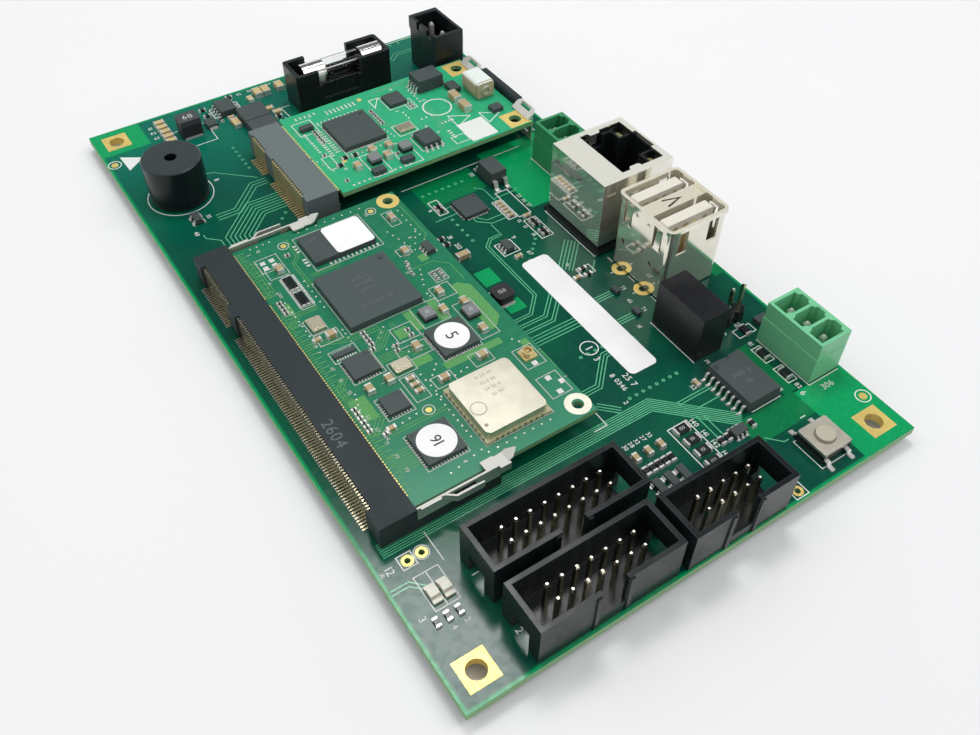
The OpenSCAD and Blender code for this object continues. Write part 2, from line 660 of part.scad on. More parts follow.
module inlet_housing() color(black_plastic) lift() difference() {
    union() {
        chip(inlet_at, [inlet_size[0], inlet_size[1], inlet_h - 0.2], 0.2);
        chip(inlet_at + [-inlet_size[0] / 2 - 0.15, 0], [0.7, inlet_size[1], 2.6], inlet_h - 2.6);
        along_y(inlet_at[1] - inlet_size[1] / 2, inlet_size[1])
            polygon([[inlet_at[0] - inlet_size[0] / 2 + 0.1, inlet_h - 3.4], [inlet_at[0] - inlet_size[0] / 2 - 0.5,
                inlet_h - 2.6], [inlet_at[0] - inlet_size[0] / 2 + 0.1, inlet_h - 2.6]]);
    }
    chip(inlet_at, [inlet_size[0] - 2 * inlet_wall, inlet_size[1] - 2 * inlet_wall, inlet_h], inlet_floor);
    for (n = inlet_notches) chip(inlet_at + [n[0], -inlet_size[1] / 2], [n[1], 3, 5], inlet_h - n[2]);
    for (p = inlet_pin_list) chip(p, [inlet_pin_side, inlet_pin_side, 9], -1);
}

module inlet_pins() color(tin) lift() for (p = inlet_pin_list) {
    chip(p, [inlet_pin_side, inlet_pin_side, 10.4]);
    translate([p[0], p[1], 10.4]) rotate(45)
        cylinder(r1 = inlet_pin_side * 0.7, r2 = 0.35, h = 0.5, $fn = 4);
    broad_tail(p, 0.1);
}

// Network jack: sheet metal shield over a moulded body that opens upwards
jack_size = [16.2, 16.7];
jack_base_size = [17.8, 17.6];
jack_base_h = 1.7;
jack_plate_h = 0.7;
shield_t = 0.3;
mouth_x = [-1.1, 12.35];
mouth_y = [32.1, 42];
latch_slot_x = [3, 8.7];
latch_slot_y = 42.8;

// Outline of the opening in the jack's top, with its two side tongues left standing
module jack_mouth() difference() {
    union() {
        translate([mouth_x[0], mouth_y[0]]) square([mouth_x[1] - mouth_x[0], mouth_y[1] - mouth_y[0]]);
        translate([latch_slot_x[0], mouth_y[1] - 1])
            square([latch_slot_x[1] - latch_slot_x[0], latch_slot_y - mouth_y[1] + 1]);
    }
    for (x = [mouth_x[0], mouth_x[1]]) translate([x, 35.4]) round_tongue();
}

module round_tongue() translate([-0.8, -1.3]) round_rect([1.6, 2.6], 0.6);

module jack_shield() color(steel) lift() {
    x0 = jack_at[0] - jack_size[0] / 2;
    y0 = jack_at[1] - jack_size[1] / 2;
    difference() {
        chip(jack_at, [jack_size[0], jack_size[1], jack_h - jack_base_h], jack_base_h);
        chip(jack_at, jack_inner(), jack_base_h - 1);
        translate([0, 0, jack_h - 2]) linear_extrude(4) jack_mouth();
    }
    // Flap folded from the top down over the front, with slanted ends
    difference() {
        along_y(y0 - shield_t, shield_t + 0.05) polygon([[x0, jack_h], [x0 + jack_size[0], jack_h],
            [x0 + jack_size[0] - 3.6, jack_h - 3.3], [x0 + 3.6, jack_h - 3.3]]);
        translate([x0 - 1, y0 - shield_t - 0.3, jack_h - 3.7]) rotate([-4.5, 0, 0])
            translate([0, -2, 0]) cube([jack_size[0] + 2, 2.3, 6]);
    }
    // Tongues folded into the mouth at both sides
    for (x = [mouth_x[0] - shield_t, mouth_x[1]])
        block([x, 34.3, jack_h - 3], [shield_t, 2.2, 3 - shield_t]);
}

function jack_inner() = [jack_size[0] - 2 * shield_t, jack_size[1] - 2 * shield_t, jack_h - jack_base_h + 1
    - shield_t];

plug_x = [-0.2, 11.4];
plug_y = [32.5, 39.2];
plug_floor = 4;

module jack_housing() color(black_plastic) lift() difference() {
    union() {
        chip(jack_at + [0, -0.15], [jack_base_size[0], jack_base_size[1], jack_plate_h - 0.1], 0.1);
        chip(jack_at, [jack_size[0], jack_size[1], jack_base_h - 0.1], 0.1);
        chip(jack_at, [jack_size[0] - 2 * shield_t, jack_size[1] - 2 * shield_t, jack_h - jack_base_h - 0.8],
            jack_base_h);
        for (i = [4:5]) translate([peg_list[i][0], peg_list[i][1], -board_t])
            cylinder(r = peg_list[i][2], h = board_t + 0.2, $fn = 32);
    }
    block([plug_x[0], plug_y[0], plug_floor], [plug_x[1] - plug_x[0], plug_y[1] - plug_y[0], jack_h]);
    block([2.6, plug_y[1] - 1, plug_floor + 3], [6, 4.4, jack_h]);
    block([-0.9, 31.2, jack_h - 2.6], [13, 1.4, 4]);
    for (x = [-1, 9]) block([x, 39.6, jack_h - 4.3], [3.2, 2.6, 8]);
    for (x = [-2, plug_x[1] - 0.2]) block([x, 33.8, jack_h - 3.4], [2, 3.4, 8]);
    for (p = jack_pin_list) chip(p, [contact_tail, contact_tail, 5], -1);
    for (p = jack_pin_list) block([p[0] - contact_tail / 2, 28.8, 3.6], [contact_tail, 4, 10.4]);
}

// Eight contact wires: a tail, a rise in the front wall and a spring leaning into the plug space
module jack_contacts() color(gold) lift() for (p = jack_pin_list) {
    chip(p, [contact_tail, contact_tail, 3.6 + pin_reach], -pin_reach);
    along_x(p[0] - contact_tail / 2, contact_tail) polygon([[p[1] - 0.23, 3.6], [31.9, 3.6], [32.2, 12.9],
        [33.8, 6.2], [34.1, 6.3], [32.5, 13.6], [31.9, 13.6], [31.6, 4.05], [p[1] - 0.23, 4.05]]);
}

module jack_lights() color("#cfd9a0") lift() for (x = [-0.9, 9.1])
    along_x(x, 3) polygon([[39.7, jack_h - 4.3], [42.1, jack_h - 4.3], [42.1, jack_h - 2.4], [41.2, jack_h - 2.2],
        [39.7, jack_h - 3.1]]);

// Double socket: one folded shell with two ports that open upwards
usb_size = [14.3, 13.5];
usb_wall = 0.35;
usb_divider_x = [21.85, 25.05];
usb_window_z = 10.4;
usb_window_h = 5;

module usb_shell() color(steel) lift() {
    x0 = usb_at[0] - usb_size[0] / 2;
    y0 = usb_at[1] - usb_size[1] / 2;
    mid_x = (usb_divider_x[0] + usb_divider_x[1]) / 2;
    difference() {
        union() {
            translate([x0, y0, 0.4]) linear_extrude(usb_h - 0.4) round_rect(usb_size, 1);
            translate([x0 - 0.35, y0 - 0.35, usb_h - 0.8]) linear_extrude(0.8)
                round_rect(usb_size + [0.7, 0.7], 1.3);
        }
        translate([x0 + usb_wall, y0 + usb_wall, -1]) linear_extrude(usb_h + 3)
            round_rect(usb_size - [2, 2] * usb_wall, 0.7);
        // Spring windows and small holes in the faces along Y
        for (x = [19.6, 27.8], y = [y0, y0 + usb_size[1]])
            block([x - 1.15, y - 1, usb_window_z], [2.3, 2, usb_window_h]);
        for (x = [22, 25.25]) translate([x, y0 - 1, 14.4]) rotate([-90, 0, 0]) cylinder(r = 0.4, h = 3, $fn = 24);
        for (q = [[19.15, 6.3], [26.9, 6.3]]) translate([q[0], y0 - 1, q[1]]) rotate([-90, 0, 0])
            cylinder(r = 0.7, h = 3, $fn = 4);
        // Spring windows in the faces along X
        for (x = [x0, x0 + usb_size[0]], y = [31.2, 38.3])
            block([x - 1, y - 1.15, usb_window_z], [2, 2.3, usb_window_h]);
    }
    // Spring leaves that lean into the ports from the lower edge of each window
    for (x = [19.6, 27.8]) {
        along_x(x - 0.75, 1.5) polygon([[y0, usb_window_z - eps], [y0 + usb_wall, usb_window_z - eps],
            [y0 + 0.75, 14], [y0 + 0.5, 15], [y0 + 0.2, 15], [y0 + 0.4, 14]]);
        along_x(x - 0.75, 1.5) mirror([1, 0]) translate([-2 * usb_at[1], 0]) polygon([[y0, usb_window_z - eps],
            [y0 + usb_wall, usb_window_z - eps], [y0 + 0.75, 14], [y0 + 0.5, 15], [y0 + 0.2, 15], [y0 + 0.4, 14]]);
    }
    // Folded divider between the ports
    difference() {
        block([usb_divider_x[0], y0 + usb_wall - eps, 2.6],
            [usb_divider_x[1] - usb_divider_x[0], usb_size[1] - 2 * usb_wall + 2 * eps, usb_h - 3.2]);
        block([usb_divider_x[0] + usb_wall, y0 - 1, -1],
            [usb_divider_x[1] - usb_divider_x[0] - 2 * usb_wall, usb_size[1] + 2, usb_h - 0.4]);
        for (y = [31.6, 37.9]) block([usb_divider_x[0] - 1, y - 1.1, 9.6], [5.2, 2.2, 4]);
        // Arrow-shaped spring cut in its top
        translate([0, 0, usb_h - 2]) linear_extrude(3) for (side = [-1, 1])
            polygon([[mid_x, 37.2], [mid_x + side * 1.1, 33.4], [mid_x + side * 1.1, 33], [mid_x + side * 0.75, 33],
                [mid_x, 35.9]]);
    }
    for (p = usb_tab_list) broad_tail(p, 0.6);
}

module usb_tongues() color(ivory) lift() {
    inner = usb_size - [2, 2] * usb_wall;
    difference() {
        translate([usb_at[0] - inner[0] / 2, usb_at[1] - inner[1] / 2, 0.3]) linear_extrude(2.2)
            round_rect(inner, 0.7);
        for (p = usb_pin_list) chip(p, [contact_tail, contact_tail, 9], -1);
        for (p = usb_pin_list) block([p[0], p[1] - contact_tail / 2, 2.1], [1.11, contact_tail, 3]);
    }
    for (x = tongue_xs) difference() {
        along_x(x - 1.1, 2.2) translate([usb_at[1] - 5.55, 2.4]) round_rect([11.1, usb_h - 3.1], 0.5);
        for (dy = [-3.5, -1, 1, 3.5]) block([x + 0.85, usb_at[1] + dy - 0.5, 2.49], [1, 1, usb_h - 4.3]);
        for (dy = [-3.5, -1, 1, 3.5])
            block([x - contact_tail / 2, usb_at[1] + dy - contact_tail / 2, 2.1], [1.36, contact_tail, 0.4]);
    }
}

// Four contact strips on the wide side of each tongue
module usb_contacts() color(gold) lift() for (p = usb_pin_list) {
    chip(p, [contact_tail, contact_tail, 2.5 + pin_reach], -pin_reach);
    block([p[0], p[1] - contact_tail / 2, 2.1], [1.1, contact_tail, 0.4]);
    block([p[0] + 0.85, p[1] - 0.5, 2.5], [0.25, 1, usb_h - 4.4]);
}

// Power converter block on four stand-off feet
converter_size = [11.7, 6.1];

module power_converter() color(black_plastic) lift() difference() {
    chip(converter_at, [converter_size[0], converter_size[1], converter_h - 0.1], 0.1);
    for (i = [-1, 0, 1]) chip(converter_at + [i * 3.4, 0], [1.6, converter_size[1] + 1, 1], -0.5);
    for (p = converter_pin_list) chip(p, [wire_tail, wire_tail, 1.3], -1);
}

// Pluggable terminal headers, open at the top, with dividers that flare at the front
terminal_size = [12.6, 7.1];
terminal_wall = 0.6;
terminal_floor = 3;

module terminal_housing(at) {
    x0 = at[0] - terminal_size[0] / 2;
    y0 = at[1] - terminal_size[1] / 2;
    inner_w = terminal_size[0] - 2 * terminal_wall;
    difference() {
        union() {
            block([x0, y0, 0.1], [terminal_size[0], terminal_size[1], terminal_h - 0.1]);
            block([x0 - 0.1, y0 - 0.15, 0.1], [terminal_size[0] + 0.2, terminal_size[1], 5.6]);
        }
        difference() {
            block([x0 + terminal_wall, y0 + terminal_wall, terminal_floor],
                [inner_w, terminal_size[1] - 2 * terminal_wall, terminal_h]);
            for (i = [-1, 1]) {
                x = at[0] + i * terminal_pitch / 2;
                block([x - 0.28, y0, 0], [0.56, terminal_size[1], 20]);
                translate([x, y0 + terminal_wall, 0]) linear_extrude(20)
                    polygon([[-0.75, -eps], [0.75, -eps], [0.75, 0.5], [0, 1.5], [-0.75, 0.5]]);
            }
            for (i = [-1:1], side = [-1, 1]) translate([at[0] + i * terminal_pitch + side * 1.6,
                y0 + terminal_size[1] - terminal_wall, 0]) cylinder(r = 0.7, h = 20, $fn = 20);
        }
        for (p = terminal_pin_list) chip(p, [1, 1, 9], -1);
    }
}

module terminal_housings() color(terminal_green) lift() for (at = terminal_ats) terminal_housing(at);

module terminal_pins() color(tin) lift() for (p = terminal_pin_list) {
    chip(p, [1, 1, 7.4]);
    translate([p[0], p[1], 7.4]) rotate(45) cylinder(r1 = 0.7, r2 = 0.35, h = 0.4, $fn = 4);
    broad_tail(p, 0.1);
}

// Box header: open shroud with a key gap in the wall that faces +X and a window in each end
header_floor = 2.4;
header_side_wall = 0.8;
header_end_wall = 0.85;
header_key_w = 4.5;

module box_header(at, n) {
    l = n * pin_pitch + 7.62;
    difference() {
        chip(at, [header_w, l, header_h - 0.1], 0.1);
        chip(at, [header_w - 2 * header_side_wall, l - 2 * header_end_wall, header_h], header_floor);
        chip(at + [header_w / 2, 0], [4, header_key_w, header_h], header_floor);
        for (side = [-1, 1]) chip(at + [0, side * l / 2], [4.1, 4.4, 4.9], -0.5);
        for (p = header_grid(at, n)) chip(p, [pin_side, pin_side, 9], -1);
    }
    // Guide ribs beside the key gap
    for (side = [-1, 1]) chip(at + [header_w / 2 + 0.05, side * (header_key_w / 2 + 0.6)],
        [0.4, 0.8, header_h - 0.6], 0.1);
}

module large_header_housing() color(black_plastic) lift() box_header(large_header_at, 8);

module medium_header_housing() color(black_plastic) lift() box_header(medium_header_at, 7);

module small_header_housing() color(black_plastic) lift() box_header(small_header_at, 5);

pin_tip = 0.35;

// Square pins with pointed tips
module header_pins() color(gold) lift() for (p = square_pins) {
    chip(p, [pin_side, pin_side, 8.5 - pin_tip + pin_reach], -pin_reach);
    translate([p[0], p[1], 8.5 - pin_tip]) rotate(45)
        cylinder(r1 = pin_side * 0.7, r2 = pin_side * 0.4, h = pin_tip, $fn = 4);
}

module jumper_base() color(black_plastic) lift() difference() {
    for (p = jumper_pins) translate([p[0], p[1], 0.1]) rotate(22.5)
        cylinder(r = pin_pitch / 2 / cos(22.5), h = 2.44, $fn = 8);
    for (p = jumper_pins) chip(p, [pin_side, pin_side, 9], -1);
}

// Push switch: moulded base, sheet cover, round plunger and four bent leads
switch_at = [71.4, 28.7];
switch_side = 6.2;
switch_base_h = 2;
cover_t = 0.5;

module switch_base() color(black_plastic) lift() difference() {
    chip(switch_at, [switch_side, switch_side, switch_base_h - 0.3], 0.3);
    translate([switch_at[0], switch_at[1], 0.9]) cylinder(r = 2.3, h = 5);
    for (x = [-1, 1], y = [-1, 1]) translate([switch_at[0] + x * 2.6, switch_at[1] + y * 2.6, -1])
        cylinder(r = 0.35, h = 5, $fn = 16);
}

module switch_cover() color(steel) lift() difference() {
    translate([switch_at[0] - switch_side / 2, switch_at[1] - switch_side / 2, switch_base_h])
        linear_extrude(cover_t) round_rect([switch_side, switch_side], 0.4);
    translate([switch_at[0], switch_at[1], 0]) cylinder(d = plunger_d + 0.2, h = 9);
}

module switch_plunger() color(steel) lift() translate([switch_at[0], switch_at[1], 0]) {
    translate([0, 0, 0.9 + plunger_travel + 0.05]) cylinder(r = 2.15, h = 0.7);
    translate([0, 0, 1.5]) cylinder(d = plunger_d, h = 1.6);
}

module switch_leads() color(tin) lift() for (side = [-1, 1], dy = [-2.3, 2.3])
    translate([switch_at[0] + side * switch_side / 2, switch_at[1] + dy, 0]) mirror([side < 0 ? 1 : 0, 0, 0])
        along_y(-0.4, 0.8) polygon([[0, 0.9], [0.5, 0.9], [0.9, 0.2], [1.7, 0.2], [1.7, 0], [0.75, 0], [0.35, 0.7],
            [0, 0.7]]);

// Moulded packages on the carrier: [x, y], [length, width, height], lift over the board
carrier_chip_list = [[[-17.3, 22.6], [5.4, 3.7, 3.2], 0.2], [[-11.3, 13.2], [5.7, 5.6, 0.9], 0],
    [[3, 12.7], [2.9, 1.6, 1], 0.1], [[24.5, 22.9], [1.8, 1, 0.8], 0.1], [[31.1, 22.6], [1.8, 1, 0.8], 0.1],
    [[-71.4, -14.7], [4.9, 3.8, 1.4], 0.1], [[-64.5, -10.7], [5.7, 6, 2.2], 0.1], [[-59.5, -10.8], [3.8, 6, 2.2], 0.1],
    [[-67.6, -19.8], [2.8, 2.4, 1], 0], [[-38, -35.2], [2.9, 1.4, 1], 0.1], [[63.6, 5.6], [2.9, 1.3, 1], 0.1],
    [[63.6, 3.1], [2.9, 1.3, 1], 0.1], [[63.6, 0.6], [2.9, 1.3, 1], 0.1], [[62.1, 18.9], [1.6, 2.9, 1], 0.1],
    [[45.2, 40.4], [1.6, 2.6, 1], 0.1]];
wide_chip_at = [54.75, 26.7];
wide_chip_size = [10.3, 7.5, 2.4];

module carrier_chips() color(black_plastic) lift() {
    for (c = carrier_chip_list) chip(c[0], c[1], c[2]);
    // Wide package with drafted sides and a half-round mark in one end
    difference() {
        along_x(wide_chip_at[0] - wide_chip_size[0] / 2, wide_chip_size[0])
            translate([wide_chip_at[1], 0.1]) drafted(wide_chip_size[1], wide_chip_size[2]);
        translate([wide_chip_at[0] - wide_chip_size[0] / 2, wide_chip_at[1], 2.3]) cylinder(r = 0.8, h = 1);
    }
}

// Section of a moulded package, wider at its parting line than at top and bottom
module drafted(w, h) polygon([[-w / 2 + 0.15, 0], [w / 2 - 0.15, 0], [w / 2, h / 2], [w / 2 - 0.25, h],
    [-w / 2 + 0.25, h], [-w / 2, h / 2]]);

// Gull-wing lead that leaves a package face at the origin and runs out along -Y
lead_t = 0.18;

module gull_lead(x, rise, run, width) along_x(x - width / 2, width) polygon([[0, rise], [0, rise - lead_t],
    [-run * 0.25, rise - lead_t], [-run * 0.45, 0], [-run, 0], [-run, lead_t], [-run * 0.6, lead_t],
    [-run * 0.4, rise]]);

// Row of leads on both long sides: [x, y] of the package, its width, count, pitch, rise, run, turned, base height
lead_rows = [[wide_chip_at, wide_chip_size[1], 8, 1.27, 1.4, 1.5, 0, 0], [[-71.4, -14.7], 3.8, 4, 1.27, 0.9, 1.1, 0, 0],
    [[3, 12.7], 1.6, 3, 0.95, 0.7, 0.6, 0, 0], [[-38, -35.2], 1.4, 2, 1.9, 0.7, 0.6, 0, 0],
    [[-29.5, 14.2], 4.9, 4, 1.27, 0.8, 1.1, 90, card_z], [[-48.15, 25.1], 6.2, 4, 1.1, 1.4, 1.1, 0, card_z],
    [[-17.3, 22.6], 5.4, 2, 2.54, 1.6, 2, 90, 0], [[63.6, 5.6], 1.3, 2, 1.9, 0.6, 0.5, 0, 0],
    [[63.6, 3.1], 1.3, 2, 1.9, 0.6, 0.5, 0, 0], [[63.6, 0.6], 1.3, 2, 1.9, 0.6, 0.5, 0, 0],
    [[62.1, 18.9], 1.6, 3, 0.95, 0.6, 0.6, 90, 0], [[-0.4, -3.2], 1.6, 3, 0.95, 0.6, 0.5, 0, module_z]];

module chip_leads() color(tin) lift() for (r = lead_rows)
    translate([r[0][0], r[0][1], r[7]]) rotate(r[6]) for (half = [0, 180]) rotate(half)
        for (i = [0:r[2] - 1]) translate([0, -r[1] / 2, 0])
            gull_lead((i - (r[2] - 1) / 2) * r[3], r[4], r[5], r[3] > 1.5 ? 0.9 : 0.42);

// Small two-ended parts: [x, y], turn, length, width, height, base height
size_2012 = [2, 1.25, 0.6];
size_1608 = [1.6, 0.8, 0.5];
size_1005 = [1, 0.5, 0.4];
resistor_list = concat(
    [for (p = [[51.5, 34.9], [57, 34.9], [45.4, 36.2]]) [p, 0, [2.5, 1.3, 0.6], 0]],
    [for (i = [0:3]) [[56.6 + i * 2.6, 11.35], 90, [2.9, 1.5, 0.6], 0]],
    [for (y = [15.3, 16.7, 22.1]) [[62, y], 0, size_1608, 0]],
    [for (i = [0:4]) [[60, 0.98 + i * 1.3], 0, [1.7, 0.95, 0.5], 0]],
    [for (i = [0:2]) [[64, -37 - i * 1.9], 0, size_1608, 0]],
    [for (x = [-0.9, 0.3, 2.4, 3.6]) [[x, 21.6], 90, size_1608, 0]],
    [for (p = [[-15.1, 7.7], [-13.7, 7.7], [-6, 2.9], [-4.1, 3], [-73.9, -19.4], [-71.2, -19.3], [-75.6, -12.2]])
        [p, 90, size_1608, 0]],
    [[[-68.1, -17.2], 0, size_1608, 0]],
    [for (p = [[6, -4.7], [7.4, -4.7], [6, -5.9], [7.4, -5.9], [1, -8.6], [2.2, -9], [3.9, -9.2]])
        [p, 0, size_1005, module_z]],
    [for (p = [[15.9, -17.3], [17.3, -17.3], [18, -20.8], [19.2, -21.2], [16.7, -24.6], [33.9, -31.7], [-13.2, -26.4]])
        [p, 90, size_1005, module_z]],
    [for (p = [[-43.5, 18], [-42.3, 18], [-26.5, -6.6], [-36.6, -6.6], [-29, 6.6]]) [p, 90, size_1005, card_z]],
    [for (x = [16.1, 17.9]) [[x, 21.4], 90, size_1608, 0]],
    [for (y = [-28.8, -29.7], x = [-5.8, -1.1]) [[x, y], 0, [4.2, 0.7, 0.4], module_z]],
    [for (p = [[-70.8, -22.4], [-68.3, -9.8], [-62.4, -5.6], [-60.2, -5.4]])
        [p, 90, size_1608, 0]],
    [for (p = [[-33.2, -1.2], [-31.6, -5.4], [-33.4, -3.4]]) [p, 90, size_1608, card_z]],
    [for (i = [0:4]) [[-45.2 + i * 1.1, -4.6], 90, size_1005, card_z]],
    [for (i = [0:5]) [[-45.6 + i * 1.05, 9.3], 90, size_1005, card_z]],
    [for (i = [0:3]) [[-2.2 + i * 1, -33.2], 90, size_1005, module_z]],
    [for (i = [0:5]) [[26.8 + i * 1.05, -33.6], 90, size_1005, module_z]],
    [for (i = [0:3]) [[12.4 + i * 1.05, -24.2], 90, size_1005, module_z]]);
capacitor_list = concat(
    [for (i = [0:2]) [[57.1, 1.2 + i * 2.6], 0, [1.7, 0.95, 0.8], 0]],
    [for (i = [0:4]) [[-73.9 + i * 1.96, -29.6], 90, [2.3, 1.3, 0.9], 0]],
    [for (y = [-5.9, -3.9, -0.4]) [[-73.3, y], 0, [2.8, 1.7, 1.2], 0]],
    [for (x = [-9.3, -8.2, -7.1, -6, -4.8]) [[x, 18.9], 90, size_1608, 0]],
    [for (p = [[6.45, 13.1], [17.6, 19.1], [-2.9, 21.6], [-67.85, -14.9]]) [p, 90, size_1608, 0]],
    [[[0.65, 3.9], 90, [2.8, 1.4, 1.1], 0], [[-64.9, -14.9], 0, [3.2, 1.6, 0.9], 0],
        [[-72.3, -8.2], 0, size_2012, 0]],
    [[[50.2, 20.3], 0, size_1608, 0], [[-39.9, 27.6], 0, [3.2, 1.8, 1.4], card_z],
        [[-35.6, 27.5], 0, [3.2, 1.8, 1.4], card_z]],
    [for (q = [[-29.2, 4.4], [-32.1, 6.4], [-32.5, 2.6], [-29.2, -2.6]]) [q, 0, [2, 1.4, 1], card_z]],
    [for (p = [[-66.4, -6.2], [-64.3, -5.2]]) [p, 90, size_2012, 0]],
    [for (q = [[-12, -4.5], [-2, -7.3], [15.5, -5.2], [22.9, -6], [15.2, -9.4], [20.3, -18], [24.3, -25.6],
        [-10.2, -29.3], [10.9, -7.6], [24.5, -29.4]]) [q, 0, [1.9, 1.2, 0.9], module_z]],
    [for (q = [[28.2, -9.7], [29, -17.8], [9.9, -29]]) [q, 90, [1.9, 1.2, 0.9], module_z]],
    [for (q = [[26, -22.6], [27.5, -22.6], [29, -22.6], [33.4, -30.4], [9.6, -31.6]]) [q, 90, size_1608, module_z]]);

// Length of the plated end of a two-ended part
cap_end_l = 0.35;

module two_ended(list) for (c = list) translate([c[0][0], c[0][1], c[3]]) rotate(c[1])
    chip([0, 0], [c[2][0] - 2 * cap_end_l, c[2][1], c[2][2]]);

module chip_capacitors() color(cap_tan) lift() two_ended(capacitor_list);

module chip_resistors() color(chip_grey) lift() two_ended(resistor_list);

// Power inductor beside the module
coil_at = [14.3, 3.9];
coil_side = 3.9;
coil_corner = 1.1;
coil_h = 1.9;
coil_strip = [0.4, 3, 0.25];

// Terminal strips of the inductors: [x, y], [length, width, height]
terminal_strips = concat(
    [for (side = [-1, 1]) [[coil_at[0] + side * (coil_side + coil_strip[0]) / 2, coil_at[1]], coil_strip]],
    [for (x = [-69.2, -65.2]) [[x, -24.75], [0.4, 4, 0.3]]],
    [for (x = [-69.35, -65.85]) [[x, -19.8], [0.7, 1.8, 0.4]]]);

// Plated ends of the small two-ended parts, and the inductors' terminals
module chip_end_caps() color(tin) lift() {
    for (c = terminal_strips) chip(c[0], c[1]);
    for (c = concat(capacitor_list, resistor_list), side = [-1, 1]) translate([c[0][0], c[0][1], c[3]]) rotate(c[1])
        chip([side * (c[2][0] / 2 - cap_end_l / 2), 0], [cap_end_l, c[2][1] + 0.04, c[2][2] + 0.02]);
}

// Power inductors: black bodies with moulded corners
module chip_inductors() color(black_plastic) lift() {
    chip([-67.2, -24.75], [3.6, 4.6, 2.9], 0.1);
    translate([coil_at[0] - coil_side / 2, coil_at[1] - coil_side / 2, 0])
        linear_extrude(coil_h) round_rect([coil_side, coil_side], coil_corner);
    for (p = [[18.4, -5.7], [14.8, -12.5]]) chip(p, [2.8, 2.6, 0.5], module_z);
    for (p = [[-29.2, 1.3], [-29.5, 8.8]]) chip(p, [2.4, 2.4, 0.8], card_z);
}

// Grey lids on the larger inductors
module inductor_tops() color("#8f9190") lift() {
    chip([-67.2, -24.75], [3.6, 4.6, 1.3], 3);
    for (p = [[18.4, -5.7], [14.8, -12.5]]) chip(p, [2.6, 2.4, 0.7], module_z + 0.5);
    for (p = [[-29.2, 1.3], [-29.5, 8.8]]) chip(p, [2.4, 2.4, 0.6], card_z + 0.8);
}

module indicator_leds() color(ivory) lift() for (y = [-36.8, -38.9]) {
    chip([59.9, y], [3.2, 1.6, 0.5]);
    along_y(y - 0.8, 1.6) translate([59.9, 0.5]) polygon([[-0.9, 0], [0.9, 0], [0.7, 0.6], [-0.7, 0.6]]);
}

carrier_board();
solder_joints();
board_label();
sodimm_socket_housing();
sodimm_contacts();
sodimm_latch_left();
sodimm_latch_right();
module_board();
module_processor();
module_memory_chip();
module_control_chips();
module_radio_base();
module_radio_shield();
module_antenna_socket();
crystals();
module_labels();
card_socket_housing();
card_socket_contacts();
card_board();
card_chips();
card_transformer();
card_latch_bar();
card_hook_left();
card_hook_right();
buzzer_case();
wire_pins();
fuse_holder_body();
fuse_clips();
fuse_glass();
fuse_caps();
fuse_wire();
inlet_housing();
inlet_pins();
jack_shield();
jack_housing();
jack_contacts();
jack_lights();
usb_shell();
usb_tongues();
usb_contacts();
power_converter();
terminal_housings();
terminal_pins();
large_header_housing();
medium_header_housing();
small_header_housing();
header_pins();
jumper_base();
switch_base();
switch_cover();
switch_plunger();
switch_leads();
carrier_chips();
chip_leads();
chip_capacitors();
chip_resistors();
chip_end_caps();
chip_inductors();
inductor_tops();
indicator_leds();
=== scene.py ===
"""Looks for the carrier circuit board with its plug-in modules.

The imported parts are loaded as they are. This file gives every part its finish and adds what has
almost no thickness on a real board: copper tracks, pads, printed outlines, plain numbers and the
small fillets of solder. Shapes are in millimetres in the board's own frame, with z = 0 on the
board's top face. Lengths in a finish, and scales of its patterns, go by metres.
"""

import functools
import math

import bpy
import numpy as np
from mathutils import Matrix, Vector


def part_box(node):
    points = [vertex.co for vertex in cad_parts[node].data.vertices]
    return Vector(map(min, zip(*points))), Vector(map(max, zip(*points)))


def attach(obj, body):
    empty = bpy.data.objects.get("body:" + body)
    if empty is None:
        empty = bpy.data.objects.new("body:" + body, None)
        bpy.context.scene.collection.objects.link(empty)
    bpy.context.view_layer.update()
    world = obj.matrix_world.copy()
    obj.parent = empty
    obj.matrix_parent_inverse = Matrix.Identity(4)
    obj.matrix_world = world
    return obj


bl_info = {
    "name": "Carrier board looks",
    "version": (1, 0, 0),
    "blender": (4, 5, 0),
    "location": "View3D > Sidebar > Board",
    "description": "Finishes, print, copper and solder for a carrier board with plug-in modules",
    "category": "Object",
}

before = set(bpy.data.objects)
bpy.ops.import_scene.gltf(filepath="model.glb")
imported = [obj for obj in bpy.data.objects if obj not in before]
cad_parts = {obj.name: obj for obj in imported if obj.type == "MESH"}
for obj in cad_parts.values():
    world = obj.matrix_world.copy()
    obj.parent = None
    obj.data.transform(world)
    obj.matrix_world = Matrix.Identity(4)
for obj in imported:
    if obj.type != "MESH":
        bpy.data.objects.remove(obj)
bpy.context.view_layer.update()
MM = 0.001
BODY = "board"
BOARD_LOW, BOARD_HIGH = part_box("carrier_board")
TOP = BOARD_HIGH.z
BOARD_DEEP = (BOARD_HIGH.z - BOARD_LOW.z) / MM
MODULE_TOP = (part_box("module_board")[1].z - TOP) / MM
CARD_TOP = (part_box("card_board")[1].z - TOP) / MM


